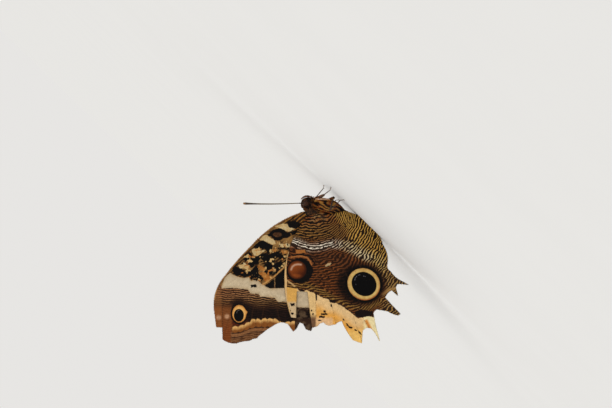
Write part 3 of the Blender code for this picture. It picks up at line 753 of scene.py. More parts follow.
def wing_shader(name):
    s = Shader(name, Roughness=0.75, Specular_IOR_Level=0.09)
    fine, mid, broad = s.noise(0.16, 1.0), s.noise(0.55, 2.0), s.noise(1.6, 2.0)
    wave = s.math("SINE", s.math("ADD", s.field("phase"), s.math("MULTIPLY", s.math("SUBTRACT", broad, 0.5), 4.5)))
    line = s.step(s.math("ADD", wave, s.math("MULTIPLY", s.math("SUBTRACT", fine, 0.5), 1.0)), 0.05, 0.66)
    gaps = s.step(s.noise(1.1, 1.0), 0.30, 0.40)
    line = s.math("MULTIPLY", s.math("MULTIPLY", line, gaps), s.alpha("line"))
    col = s.mix(line, s.colour("tone"), s.colour("line"))
    col = s.mix(s.step(s.field("vein"), 0.55, 0.1, 0.0, 0.22), col, (*(rgb(86, 56, 32)), 1.0))
    ragged = s.math("ADD", s.math("MULTIPLY", s.math("SUBTRACT", mid, 0.5), 1.5),
                    s.math("MULTIPLY", s.math("SUBTRACT", fine, 0.5), 0.7))
    for key, rough, edge in (("pale", 1.0, 0.28), ("dark", 1.0, 0.26), ("warm", 0.9, 0.32), ("ring", 0.45, 0.26),
                             ("pupil", 0.35, 0.22), ("glint", 0.6, 0.25)):
        d = s.math("ADD", s.field(key), s.math("MULTIPLY", ragged, rough))
        col = s.mix(s.step(d, edge, -edge), col, s.colour(key + "_tone"))
    grain = s.step(fine, 0.2, 0.8, 0.78, 1.22)
    grain = s.math("MULTIPLY", grain, s.step(broad, 0.2, 0.8, 0.92, 1.08))
    tint = s.add("CombineColor", {0: grain, 1: grain, 2: grain}).outputs[0]
    col = s.add("Gamma", {0: s.mix(1.0, col, tint, "MULTIPLY"), 1: 1.16}).outputs[0]
    s.bump(s.math("ADD", fine, s.math("MULTIPLY", line, 0.4)), 0.35, 0.06)
    return s.finish(col, s.step(fine, 0.2, 0.8, 0.62, 0.82))


# --------------------------------------------------------------------- wings
FORE_OUTLINE = FORE_COSTA + FORE_APEX_TEARS + FORE_OUTER + FORE_TORNUS_TEARS + FORE_INNER
HIND_OUTLINE = HIND_COSTA + HIND_STRIPS + HIND_TAILS + HIND_INNER + HIND_ROOT
SPACING = 0.46
SHEET = 0.11                      # half the drawn thickness of a wing
RELIEF = 0.11                     # how far a vein stands out

FORE_VEINS = (
    ((303, 213), (285, 224.5), (262, 241), (240, 262), (226, 283), (214.5, 306.5)),
    ((303, 214), (284, 229), (262, 250), (240, 276), (222.5, 305), (216.6, 326.5)),
    ((262, 250), (247, 270), (233, 303), (223.2, 339)),
    ((268, 256), (256, 275), (243, 305), (236.4, 342.8)),
    ((268, 256), (262, 280), (252.5, 312), (249.5, 340.3)),
    ((262, 250), (265.5, 252.5), (268, 256), (277, 262)),
    ((303, 215), (292, 236), (277, 262), (268, 285), (262, 318), (262.5, 333)),
    ((277, 262), (275, 285), (277, 308), (280, 322)),
    ((303, 217), (299, 250), (294, 290), (294, 331)),
    ((305, 217), (311, 260), (311, 330)),
)
HIND_VEINS = (
    ((304, 216), (292, 232), (286.6, 256), (286, 301), (289.5, 313)),
    ((306, 214), (304, 232), (301, 262), (298.5, 290), (296, 317)),
    ((304, 232), (310, 252), (314, 285), (311, 325)),
    ((310, 252), (317, 262), (318, 290), (317.4, 326)),
    ((317, 262), (326, 280), (331, 302), (335, 323)),
    ((310, 212), (322, 236), (326, 258), (343, 300), (361, 341)),
    ((317, 262), (326, 258)),
    ((322, 236), (343, 268), (364, 312), (379.5, 341)),
    ((312, 212), (345, 246), (376, 288), (400, 313.8)),
    ((314, 211), (360, 236), (390, 262), (408.3, 284.7)),
)


def swell(x, z):
    rows = np.array(BODY_ROWS)
    best = np.zeros(len(x))
    for bx, bz, half_w, half_d in rows:
        dz = (z - bz) * np.where(z < bz, 0.45, 1.0)
        best = np.maximum(best, half_w * np.exp(-0.5 * ((x - bx) ** 2 + dz * dz) / half_d ** 2))
    return best


def layer_y(x, z, layer):
    return layer + LAYER_LEAN * np.maximum(0, z - 25.0) + swell(x, z)


def wing_piece(name, corners, layer, side, slot, paint, veins, hind, material, seed):
    poly = np.array([(v.x, v.y) for v in outline(corners, 0.42)])
    lo, hi = poly.min(0), poly.max(0)
    xs, zs = np.arange(lo[0], hi[0], SPACING), np.arange(lo[1], hi[1], SPACING * 0.866)
    gx, gz = np.meshgrid(xs, zs)
    gx[1::2] += SPACING / 2
    grid = np.column_stack([gx.ravel(), gz.ravel()])
    grid = grid[poly_d(grid, poly) < -0.30]
    flat, _, tris, *_ = delaunay_2d_cdt([Vector(v) for v in poly] + [Vector(v) for v in grid], [],
                                        [list(range(len(poly)))], 1, 1e-4)
    flat = np.array([(v.x, v.y) for v in flat])
    tris = np.array([t for t in tris if len(t) == 3], np.int64)
    a, b, c = (flat[tris[:, k]] for k in range(3))
    area = (b[:, 0] - a[:, 0]) * (c[:, 1] - a[:, 1]) - (b[:, 1] - a[:, 1]) * (c[:, 0] - a[:, 0])
    tris = np.where((area < 0)[:, None], tris[:, ::-1], tris)
    n = len(flat)

    plane = to_plane(flat)
    edge = np.abs(poly_d(plane, to_plane(poly)))
    vein_d = np.full(n, 9.0)
    for v in veins:
        vein_d = np.minimum(vein_d, line_d(plane, v) * 0.52)
    fade = np.clip(edge / 1.5, 0, 1)
    calm = 1 - 0.75 * hind * soft(oval_d(plane, BIG_EYE, 17, 16), 2) - 0.75 * hind * soft(oval_d(plane, BALL, 10, 10), 2)
    ridge = RELIEF * np.exp(-(vein_d / 0.34) ** 2) * (0.4 + 0.6 * fade) * calm
    sag = 0.10 * noise(flat, 13.0, seed) + 0.05 * noise(flat, 4.0, seed + 1) - 0.05 * np.clip(vein_d / 2.5, 0, 1)
    y0 = layer_y(flat[:, 0], flat[:, 1], layer)
    outer_y, inner_y = y0 + sag + SHEET + ridge, y0 + sag - SHEET - 0.5 * ridge
    verts = np.vstack([np.column_stack([flat[:, 0], side * outer_y, flat[:, 1]]),
                       np.column_stack([flat[:, 0], side * inner_y, flat[:, 1]])])

    # directed edges with no twin bound the sheet
    e = np.vstack([tris[:, [0, 1]], tris[:, [1, 2]], tris[:, [2, 0]]])
    twins = set(map(tuple, e[:, ::-1].tolist()))
    rim = np.array([p for p in e.tolist() if tuple(p) not in twins], np.int64)
    i, j = rim[:, 0], rim[:, 1]
    walls = np.column_stack([j, i, i + n, j + n])
    outer, inner = tris, tris[:, ::-1] + n
    if side > 0:
        outer, inner, walls = outer[:, ::-1], inner[:, ::-1], walls[:, ::-1]

    coat = paint(plane, edge)
    coat.vein = vein_d
    back = paint_inside(plane, edge, hind)
    back.vein = vein_d
    f_out, f_in = coat.fields(), back.fields()
    uv_out = np.column_stack([(flat[:, 0] + 52) / 156 + 0.005, flat[:, 1] / 100 + 0.01])
    uv_in = uv_out + (0.5, 0.0)

    # a fringe of narrow scales along the edge
    rng = np.random.default_rng(seed)
    pick = np.repeat(np.arange(len(rim)), 3)
    t = rng.random(len(pick))[:, None]
    a2, b2 = flat[i[pick]], flat[j[pick]]
    root = a2 + (b2 - a2) * t
    along = (b2 - a2) / np.maximum(np.linalg.norm(b2 - a2, axis=1), 1e-6)[:, None]
    out = np.column_stack([along[:, 1], -along[:, 0]])
    away = out + along * rng.normal(0, 0.22, (len(pick), 1))
    length = rng.uniform(0.12, 0.42, (len(pick), 1))
    w = rng.uniform(0.05, 0.10, (len(pick), 1))
    ry = (y0 + sag)[i[pick]] + rng.uniform(-0.07, 0.07, len(pick))
    tip = root + away * length
    corners4 = []
    for off, dy in ((-1, -0.03), (1, -0.03), (0, 0.035)):
        q = root - out * 0.10 + along * off * w
        corners4.append(np.column_stack([q[:, 0], side * (ry + dy), q[:, 1]]))
    corners4.append(np.column_stack([tip[:, 0], side * ry, tip[:, 1]]))
    fringe = np.stack(corners4, 1).reshape(-1, 3)
    k = np.arange(len(pick))[:, None] * 4 + 2 * n
    tri = np.vstack([k + [0, 1, 3], k + [1, 2, 3], k + [2, 0, 3], k + [1, 0, 2]])
    if side < 0:
        tri = tri[:, ::-1]
    source = np.repeat(i[pick], 4)
    fringe_uv = uv_out[source] + np.tile([(-.0012, 0), (.0012, 0), (0, .0008), (0, .0016)], (len(pick), 1))

    verts = np.vstack([verts, fringe])
    low, high = np.array(cad_box[0]) / MM, np.array(cad_box[1]) / MM
    verts = np.clip(verts, low, high)
    fields = {key: np.concatenate([f_out[key], f_in[key], f_out[key][source]]) for key in f_out}
    uv = np.vstack([uv_out, uv_in, fringe_uv])
    return mesh_piece(name, verts, [np.vstack([outer, inner, tri]), walls], (slot + ("_left" if side > 0 else "_right"),),
                      uv, fields, material)


fore_mat = wing_shader("forewing_scales")
hind_mat = wing_shader("hindwing_scales")
for side, word in ((-1, "right"), (1, "left")):
    wing_piece("wing_fore_" + word, FORE_OUTLINE, FORE_LAYER, side, "forewing", paint_fore, FORE_VEINS, False,
               fore_mat, 101)
    wing_piece("wing_hind_" + word, HIND_OUTLINE, HIND_LAYER, side, "hindwing", paint_hind, HIND_VEINS, True,
               hind_mat, 202)


# ----------------------------------------------------------- body and its coat
COAT_DEPTH = 0.35
SKIN_STATIONS = HEAD + THORAX + ABDOMEN


def body_grid(stations, per_span, sides, shrink):
    """Rings of points down the body, with where each lies from head to tail."""
    rows = np.array(smooth_stations(stations, per_span))
    at = np.linspace(0, 1, len(rows))
    nxt = np.vstack([rows[1:], rows[-1:]])
    prv = np.vstack([rows[:1], rows[:-1]])
    way = (nxt - prv)[:, :2]
    way /= np.maximum(np.linalg.norm(way, axis=1), 1e-6)[:, None]
    for _ in range(4):
        way[1:-1] = (way[:-2] + 2 * way[1:-1] + way[2:]) / 4
        way /= np.linalg.norm(way, axis=1)[:, None]
    t = np.linspace(0, 2 * np.pi, sides, endpoint=False)
    neck = 0.95 * np.exp(-((at - NECK_AT) / 0.028) ** 2)          # the ruff behind the head fills the neck
    half_w = np.maximum(rows[:, 2] - shrink, 0.25) + neck
    half_d = np.maximum(rows[:, 3] - shrink, 0.25) + 0.6 * neck
    up = np.column_stack([way[:, 1], np.zeros(len(rows)), -way[:, 0]])   # (0,1,0) x way
    centre = np.column_stack([rows[:, 0], np.zeros(len(rows)), rows[:, 1]])
    grid = (centre[:, None, :] + (half_w[:, None] * np.cos(t))[:, :, None] * np.array([0, 1, 0])
            + (half_d[:, None] * np.sin(t))[:, :, None] * up[:, None, :])
    return grid, centre, at


NECK_AT = (len(HEAD) - 0.5) / (len(SKIN_STATIONS) - 1)
skin_grid, skin_centre, skin_at = body_grid(SKIN_STATIONS, 8, 64, COAT_DEPTH)
HEAD_END = (len(HEAD) - 0.6) / (len(SKIN_STATIONS) - 1)
THORAX_END = (len(HEAD) + len(THORAX) - 0.5) / (len(SKIN_STATIONS) - 1)


def body_tone(p, at):
    """Colour of the hair at points p, at along the body from head to tail."""
    turned = np.column_stack([(p[:, 0] * 0.88 + p[:, 2] * 0.47) * 0.30, p[:, 1], -p[:, 0] * 0.47 + p[:, 2] * 0.88])
    n1, n2, n3 = noise(turned, 0.85, 81), noise(turned, 0.6, 82), noise(p, 3.5, 83)
    slant = turned[:, 2] + 0.10 * p[:, 0]
    streak = np.sin(2 * math.pi * (slant + 1.5 * noise(turned, 2.0, 84, 1) + 0.7 * noise(turned, 0.8, 85, 1)) / 1.8)
    col = np.broadcast_to(rgb(84, 44, 18), p.shape).copy()
    col = blend(col, rgb(176, 88, 28), soft(0.25 - streak - 0.8 * n2, 0.25))
    col = blend(col, rgb(198, 150, 70), soft(0.85 - streak - 1.6 * n2, 0.15) * 0.9)
    col = blend(col, rgb(12, 8, 7), soft(0.0 + streak - 0.9 * n1, 0.2))
    head = soft(at - HEAD_END, 0.02)
    dark = blend(rgb(36, 19, 9), rgb(112, 68, 34), np.clip(n1 * 1.6 + 0.45, 0, 1))
    col = blend(col, dark, head)
    tail = soft(THORAX_END - at, 0.03)
    ochre = blend(rgb(112, 84, 54), rgb(150, 118, 78), np.clip(n2 + 0.5, 0, 1))
    rings = soft(np.abs(((at - THORAX_END) * 26) % 1 - 0.5) - 0.16, 0.12)
    ochre = blend(ochre, rgb(70, 50, 34), 0.6 * rings)
    ochre = blend(ochre, rgb(56, 40, 28), soft(-(p[:, 2] - 6.0), 1.0) * 0.7)
    return blend(col, ochre, tail)


def grid_piece(grid, at, name, nodes, material, tone):
    rows, sides = grid.shape[:2]
    ends = [grid[0].mean(0) + (grid[0].mean(0) - grid[1].mean(0)) * 0.5,
            grid[-1].mean(0) + (grid[-1].mean(0) - grid[-2].mean(0)) * 0.5]
    verts = np.vstack([grid.reshape(-1, 3), ends])
    r, s = np.meshgrid(np.arange(rows - 1), np.arange(sides), indexing="ij")
    r, s = r.ravel(), s.ravel()
    nxt = (s + 1) % sides
    quads = np.column_stack([r * sides + s, r * sides + nxt, (r + 1) * sides + nxt, (r + 1) * sides + s])
    k = np.arange(sides)
    head = np.column_stack([(k + 1) % sides, k, np.full(sides, rows * sides)])
    tail = np.column_stack([(rows - 1) * sides + k, (rows - 1) * sides + (k + 1) % sides,
                            np.full(sides, rows * sides + 1)])
    at_v = np.concatenate([np.repeat(at, sides), [at[0], at[-1]]])
    return mesh_piece(name, verts, [quads, head, tail], nodes, None, {"tone": tone(verts, at_v)}, material)


def hair_shader(name, rough=0.7, sheen=0.06):
    s = Shader(name, Roughness=rough, Specular_IOR_Level=0.12, Sheen_Weight=sheen, Sheen_Roughness=0.4)
    fine, lump = s.noise(0.10, 1.0), s.noise(0.7, 2.0)
    g = s.math("MULTIPLY", s.step(fine, 0.2, 0.8, 0.75, 1.25), s.step(lump, 0.25, 0.75, 0.85, 1.15))
    tint = s.add("CombineColor", {0: g, 1: g, 2: g}).outputs[0]
    s.bump(fine, 0.3, 0.05)
    return s.finish(s.mix(1.0, s.colour("tone"), tint, "MULTIPLY"), s.step(fine, 0.2, 0.8, rough - 0.1, rough + 0.1))


hair_mat = hair_shader("body_hair")
skin_mat = hair_shader("body_skin", 0.8, 0.05)


def segmented(grid, at):
    """The abdomen's rings pinch in a little at each joint."""
    out = grid.copy()
    u = (at - THORAX_END) * 26
    pinch = np.where(at > THORAX_END, 0.06 * np.exp(-(((u % 1) - 0.5) / 0.12) ** 2), 0)
    centre = grid.mean(1)
    return centre[:, None, :] + (out - centre[:, None, :]) * (1 - pinch)[:, None, None]


skin_grid = segmented(skin_grid, skin_at)
skin = grid_piece(skin_grid, skin_at, "body_skin", ("head", "thorax", "abdomen"), skin_mat, body_tone)

fore_poly = np.array([(v.x, v.y) for v in outline(FORE_OUTLINE, 1.2)])
hind_poly = np.array([(v.x, v.y) for v in outline(HIND_OUTLINE, 1.2)])


def keep_under_wings(p):
    """Hair that would come through a closed wing lies against it instead."""
    xz = p[:, [0, 2]]
    under = (poly_d(xz, fore_poly) < 0.3)
    limit = layer_y(p[:, 0], p[:, 2], FORE_LAYER) - 0.28
    under2 = (poly_d(xz, hind_poly) < 0.3) & ~under
    limit2 = layer_y(p[:, 0], p[:, 2], HIND_LAYER) - 0.28
    y = p[:, 1].copy()
    y = np.where(under, np.clip(y, -limit, limit), y)
    y = np.where(under2, np.clip(y, -limit2, limit2), y)
    return np.column_stack([p[:, 0], y, p[:, 2]])


def sample_grid(grid, at, lo, hi, count, rng):
    """Even random places on part of the body: point, outward, toward the tail, place on its unwrap."""
    rows, sides = grid.shape[:2]
    a = grid[:-1]
    b = grid[1:]
    c = np.roll(grid, -1, 1)[:-1]
    cross = np.cross(b - a, c - a)
    area = np.linalg.norm(cross, axis=2)
    mid_at = (at[:-1] + at[1:]) / 2
    area = area * ((mid_at >= lo) & (mid_at < hi))[:, None]
    cell = rng.choice(area.size, size=count, p=(area / area.sum()).ravel())
    r, s = cell // sides, cell % sides
    u, v = rng.random(count), rng.random(count)
    nx = (s + 1) % sides
    g00, g10, g01, g11 = grid[r, s], grid[r + 1, s], grid[r, nx], grid[r + 1, nx]
    p = ((g00 * (1 - u)[:, None] + g10 * u[:, None]) * (1 - v)[:, None]
         + (g01 * (1 - u)[:, None] + g11 * u[:, None]) * v[:, None])
    tail = g10 - g00
    tail /= np.maximum(np.linalg.norm(tail, axis=1), 1e-9)[:, None]
    out = np.cross(g10 - g00, g01 - g00)
    out /= np.maximum(np.linalg.norm(out, axis=1), 1e-9)[:, None]
    centre = grid[r].mean(1)
    out *= np.sign((out * (p - centre)).sum(1))[:, None]
    return p, out, tail, np.column_stack([(s + v) / sides, (r + u) / (rows - 1)]), at[r] + (at[r + 1] - at[r]) * u


def tufts(name, root, out, lie, length, width, lift, tone, uv, rng, limit=None, material=None):
    """Tapered locks of three sides, each rooted just below the skin and bent along it."""
    n = len(root)
    length = np.broadcast_to(length, n) * rng.uniform(0.7, 1.25, n)
    width = np.broadcast_to(width, n) * rng.uniform(0.75, 1.25, n)
    lift = np.broadcast_to(np.radians(lift), n) * rng.uniform(0.6, 1.4, n)
    across = np.cross(out, lie)
    across /= np.maximum(np.linalg.norm(across, axis=1), 1e-9)[:, None]
    stray = rng.normal(0, 0.16, n)
    lie = lie * np.cos(stray)[:, None] + across * np.sin(stray)[:, None]
    across = np.cross(out, lie)
    L, W = length[:, None], width[:, None]
    d1 = lie * np.cos(lift)[:, None] + out * np.sin(lift)[:, None]
    d2 = lie * np.cos(lift * 0.3)[:, None] + out * np.sin(lift * 0.3)[:, None]
    base = root - out * 0.10
    mid = base + d1 * L * 0.5 + out * 0.05
    tip = mid + d2 * L * 0.55
    pts = np.stack([base - across * W / 2, base + across * W / 2, base + out * W * 0.5,
                    mid - across * W * 0.42, mid + across * W * 0.42, mid + out * W * 0.34, tip], 1)
    verts = pts.reshape(-1, 3)
    if limit:
        verts = limit(verts)
    k = np.arange(n)[:, None] * 7
    quads = np.vstack([k + [0, 3, 4, 1], k + [1, 4, 5, 2], k + [2, 5, 3, 0]])
    tris = np.vstack([k + [3, 6, 4], k + [4, 6, 5], k + [5, 6, 3], k + [0, 1, 2]])
    patch = np.array([(-1, -1), (1, -1), (0, -.6), (-.9, .2), (.9, .2), (0, .3), (0, 1)]) * 0.0014
    uvs = (np.clip(uv, 0.004, 0.996)[:, None, :] + patch[None]).reshape(-1, 2)
    tone = tone * rng.uniform(0.78, 1.22, (n, 1))
    # painted shade darkens each lock toward its root, and painted light brightens its tip
    root_shade_tip_light = np.ones((n, 7, 1))
    root_shade_tip_light[:, 0:3] *= 0.7
    root_shade_tip_light[:, 6] *= 1.2
    tones = (tone[:, None, :] * root_shade_tip_light).reshape(-1, 3)
    return mesh_piece(name, verts, [quads, tris], (), uvs, {"tone": tones}, material or hair_mat)


def body_coat(name, lo, hi, count, length, width, lift, seed, half=None, top=False):
    rng = np.random.default_rng(seed)
    p, out, tail, uv, at = sample_grid(skin_grid, skin_at, lo, hi, count, rng)
    if half is not None:
        keep = p[:, 1] * half >= 0
        p, out, tail, uv, at = p[keep], out[keep], tail[keep], uv[keep], at[keep]
    if top:                       # only the side that faces the wings' front edge
        keep = out @ np.array([-0.25, 0, 0.97]) > 0.35
        p, out, tail, uv, at = p[keep], out[keep], tail[keep], uv[keep], at[keep]
    return tufts(name, p, out, tail, length, width, lift, body_tone(p, at), uv, rng, keep_under_wings)


body_coat("coat_head", 0.0, HEAD_END, 9500, 0.75, 0.085, 24, 1)
body_coat("coat_thorax_right", HEAD_END, THORAX_END, 32000, 1.35, 0.13, 17, 2, -1)
body_coat("coat_thorax_left", HEAD_END, THORAX_END, 32000, 1.35, 0.13, 17, 3, 1)
body_coat("coat_neck", NECK_AT - 0.03, NECK_AT + 0.07, 9000, 1.7, 0.11, 30, 5)
body_coat("coat_crown", 0.06, NECK_AT + 0.06, 14000, 1.9, 0.11, 42, 6, None, True)
body_coat("coat_abdomen", THORAX_END, 1.0, 17000, 0.8, 0.12, 11, 4)


def wing_root_hair(side, word, seed):
    """Long scales that run out over the wings from the hinge."""
    rng = np.random.default_rng(seed)
    for layer, poly, count, reach, label in ((FORE_LAYER, fore_poly, 2600, 8.0, "fore"),
                                             (HIND_LAYER, hind_poly, 2600, 6.0, "hind")):
        a = rng.uniform(0, 2 * np.pi, count * 4)
        d = reach * np.sqrt(rng.random(count * 4))
        xz = np.column_stack([19.5 + d * np.cos(a), 12.5 + d * np.sin(a)])
        keep = (poly_d(xz, poly) < -0.5) & (rng.random(len(xz)) < 1.15 - d / reach)
        xz = xz[keep][:count]
        x, z = xz.T
        h = 0.05
        y = layer_y(x, z, layer) + SHEET
        gx = (layer_y(x + h, z, layer) - layer_y(x - h, z, layer)) / (2 * h)
        gz = (layer_y(x, z + h, layer) - layer_y(x, z - h, layer)) / (2 * h)
        out = np.column_stack([-gx, np.ones(len(x)), -gz])
        out /= np.linalg.norm(out, axis=1)[:, None]
        way = np.column_stack([x - 24.0, np.zeros(len(x)), z - 9.0])
        way -= out * (way * out).sum(1)[:, None]
        way /= np.linalg.norm(way, axis=1)[:, None]
        p = np.column_stack([x, y, z]) * (1, side, 1)
        out, way = out * (1, side, 1), way * (1, side, 1)
        n1, n2 = noise(p * (0.5, 0.5, 1.0), 1.3, 91), noise(p, 0.8, 92)
        tone = np.broadcast_to(rgb(74, 44, 22), p.shape)
        tone = blend(tone, rgb(150, 94, 42), soft(0.05 - n2, 0.10))
        tone = blend(tone, rgb(24, 16, 12), soft(0.08 - n1, 0.10))
        tone = blend(tone, rgb(178, 146, 84), soft(0.30 - n2 + 0.4 * n1, 0.10) * 0.7)
        far = np.clip(np.hypot(x - 19.5, z - 12.5) / reach, 0, 1)
        uv = np.column_stack([(x + 52) / 110, z / 100])
        tufts("coat_wing_root_%s_%s" % (label, word), p, out, way, 1.25 - 0.75 * far ** 2, 0.12 - 0.05 * far, 7 - 4 * far, tone, uv, rng)


wing_root_hair(-1, "right", 11)
wing_root_hair(1, "left", 12)


def shoulder_hair(side, word, seed):
    """Hair from the wing's front edge up to the neck."""
    rng = np.random.default_rng(seed)
    xz = np.column_stack([rng.uniform(17.0, 26.0, 30000), rng.uniform(11.0, 20.0, 30000)])
    d = poly_d(xz, fore_poly)
    near = np.hypot(xz[:, 0] - 21.9, xz[:, 1] - 15.4)
    xz = xz[(d < -0.12) & (near < 3.4) & (rng.random(len(xz)) < 1.3 - near / 3.4)][:1500]
    x, z = xz.T
    h = 0.05
    y = layer_y(x, z, FORE_LAYER) + SHEET
    gx = (layer_y(x + h, z, FORE_LAYER) - layer_y(x - h, z, FORE_LAYER)) / (2 * h)
    gz = (layer_y(x, z + h, FORE_LAYER) - layer_y(x, z - h, FORE_LAYER)) / (2 * h)
    out = np.column_stack([-gx, np.ones(len(x)), -gz])
    out /= np.linalg.norm(out, axis=1)[:, None]
    way = np.column_stack([np.full(len(x), 0.55), np.zeros(len(x)), np.full(len(x), -0.83)])
    way += rng.normal(0, 0.16, way.shape)
    way -= out * (way * out).sum(1)[:, None]
    way /= np.linalg.norm(way, axis=1)[:, None]
    p = np.column_stack([x, y, z]) * (1, side, 1)
    out, way = out * (1, side, 1), way * (1, side, 1)
    tone = np.broadcast_to(rgb(66, 40, 22), p.shape)
    tone = blend(tone, rgb(136, 86, 42), soft(0.10 - noise(p, 0.8, 92), 0.12))
    tone = blend(tone, rgb(20, 13, 10), soft(0.05 - noise(p, 0.7, 93), 0.10))
    uv = np.column_stack([(x + 52) / 110, z / 100])
    tufts("coat_shoulder_" + word, p, out, way, np.full(len(x), 2.2), 0.12, 9, tone, uv, rng)


shoulder_hair(-1, "right", 21)
shoulder_hair(1, "left", 22)


# ---------------------------------------------------------------------- tubes
def smooth_path(points, per_span):
    return np.array(smooth_stations([tuple(p) for p in points], per_span))


def tube_grid(path, radii, sides, squash=None):
    """Rings square to a path; squash is not used."""
    path = np.asarray(path, float)
    way = np.gradient(path, axis=0)
    way /= np.maximum(np.linalg.norm(way, axis=1), 1e-9)[:, None]
    ref = np.array([0.0, 0.0, 1.0]) if abs(way[:, 2]).mean() < 0.8 else np.array([1.0, 0.0, 0.0])
    u = np.cross(way, ref)
    u /= np.maximum(np.linalg.norm(u, axis=1), 1e-9)[:, None]
    v = np.cross(way, u)
    t = np.linspace(0, 2 * np.pi, sides, endpoint=False)
    r = np.asarray(radii)[:, None, None]
    return path[:, None, :] + r * (np.cos(t)[None, :, None] * u[:, None, :] + np.sin(t)[None, :, None] * v[:, None, :])


def grid_mesh(grids):
    """One vertex and face list from several closed tubes."""
    verts, quads, tris, at = [], [], [], []
    base = 0
    for grid in grids:
        rows, sides = grid.shape[:2]
        ends = [grid[0].mean(0), grid[-1].mean(0)]
        verts += [grid.reshape(-1, 3), np.array(ends)]
        r, s = np.meshgrid(np.arange(rows - 1), np.arange(sides), indexing="ij")
        r, s = r.ravel(), s.ravel()
        nx = (s + 1) % sides
        quads.append(np.column_stack([r * sides + s, r * sides + nx, (r + 1) * sides + nx, (r + 1) * sides + s]) + base)
        k = np.arange(sides)
        tris.append(np.column_stack([(k + 1) % sides, k, np.full(sides, rows * sides)]) + base)
        tris.append(np.column_stack([(rows - 1) * sides + k, (rows - 1) * sides + (k + 1) % sides,
                                     np.full(sides, rows * sides + 1)]) + base)
        at.append(np.concatenate([np.repeat(np.linspace(0, 1, rows), sides), [0, 1]]))
        base += rows * sides + 2
    verts = np.vstack(verts)
    # the rings turn one way round or the other; the faces are left as built
    f = np.vstack(quads)
    return verts, [f, np.vstack(tris)], np.concatenate(at)


def outward(ob):
    import bmesh
    bm = bmesh.new()
    bm.from_mesh(ob.data)
    bmesh.ops.recalc_face_normals(bm, faces=bm.faces[:])
    bm.to_mesh(ob.data)
    bm.free()
    return ob


def cone_grid(root, tip, radius, sides=5, bow=(0, 0, 0)):
    t = np.array([0.0, 0.3, 0.6, 0.85, 1.0])
    path = root + (tip - root) * t[:, None] + np.array(bow) * (4 * t * (1 - t))[:, None]
    return tube_grid(path, radius * np.array([1.0, 0.8, 0.55, 0.28, 0.06]), sides)


# ----------------------------------------------------------------------- eyes
def eye_shader():
    s = Shader("eye_facets", Roughness=0.42, Specular_IOR_Level=0.12)
    cells, broad = s.cells(0.075), s.noise(1.3, 2.0)
    col = s.mix(s.step(broad, 0.35, 0.65), (*rgb(36, 19, 10), 1), (*rgb(88, 50, 27), 1))
    col = s.mix(s.step(cells, 0.35, 0.6), col, (*rgb(12, 8, 7), 1))
    s.bump(cells, 0.25, 0.02)
    return s.finish(col)


eye_mat = eye_shader()
for side, word in ((-1, "right"), (1, "left")):
    rows, cols = 40, 72
    t, a = np.linspace(0.02, np.pi - 0.02, rows), np.linspace(0, 2 * np.pi, cols, endpoint=False)
    unit = np.stack([np.sin(t)[:, None] * np.cos(a), np.cos(t)[:, None] * np.ones(cols), np.sin(t)[:, None] * np.sin(a)], 2)
    bead = 1 + 0.006 * np.sin(a * 36)[None, :, None] * np.sin(t * 38)[:, None, None]
    grid = np.array((EYE_CENTRE[0], side * EYE_CENTRE[1], EYE_CENTRE[2])) + unit * bead * (np.array(EYE_RADII) * 0.965)
    v, f, at = grid_mesh([grid])
    ob = mesh_piece("eye_dome_" + word, v, f, ("eye_" + word,), None, {"tone": np.zeros((len(v), 3))}, eye_mat)
    outward(ob)
    # a ring of short pale scales round the eye
    rng = np.random.default_rng(31)
    n = 620
    a = rng.uniform(0, 2 * np.pi, n)
    ring = np.column_stack([np.cos(a) * EYE_RADII[0], np.zeros(n), np.sin(a) * EYE_RADII[2]])
    root = np.array((EYE_CENTRE[0], side * (EYE_CENTRE[1] - 0.42), EYE_CENTRE[2])) + ring * rng.uniform(0.97, 1.06, (n, 1))
    outv = np.column_stack([np.cos(a) * 0.6, np.full(n, side * 0.8), np.sin(a) * 0.6])
    lie = np.column_stack([-np.sin(a) * 0.4 - 0.8, np.full(n, side * 0.35), np.cos(a) * 0.4 - 0.25])
    lie -= outv * (lie * outv).sum(1)[:, None]
    lie /= np.linalg.norm(lie, axis=1)[:, None]
    tone = blend(np.broadcast_to(rgb(60, 40, 26), (n, 3)), rgb(142, 108, 76), rng.random(n) ** 2)
    tufts("coat_eye_rim_" + word, root, outv, lie, 0.42, 0.06, 20, tone, np.column_stack([a / 6.3, rng.random(n)]),
          rng)

# ---------------------------------------------------------------------- palps
PALP = ((27.3, 1.0, 10.3), (28.3, 1.1, 10.7), (29.3, 1.1, 11.6), (29.9, 1.0, 12.8), (30.1, 0.9, 14.1))
for side, word in ((-1, "right"), (1, "left")):
    path = smooth_path([(x, side * y, z) for x, y, z in PALP], 6)
    k = np.linspace(0, 4, len(path))
    radii = np.interp(k, range(5), [PALP_RADIUS * f * 0.66 for f in (0.9, 1.05, 1.1, 0.9, 0.4)])
    grid = tube_grid(path, radii, 16)
    v, f, at = grid_mesh([grid])
    tone = blend(np.broadcast_to(rgb(96, 56, 38), v.shape), rgb(60, 38, 26), noise(v, 0.8, 5) * 0.5 + 0.5)
    outward(mesh_piece("palp_core_" + word, v, f, ("palp_" + word,), None, {"tone": tone}, skin_mat))
    rng = np.random.default_rng(41)
    p, out, tail, uv, at = sample_grid(grid, np.linspace(0, 1, len(path)), 0, 1, 1900, rng)
    tone = blend(np.broadcast_to(rgb(118, 70, 50), p.shape), rgb(64, 40, 28), soft(-noise(p, 0.7, 6), 0.3))
    tone = blend(tone, rgb(164, 122, 92), soft(0.35 - noise(p, 0.5, 7), 0.15) * 0.6)
    tufts("coat_palp_" + word, p, out, tail, 0.55, 0.075, 18, tone, uv, rng)


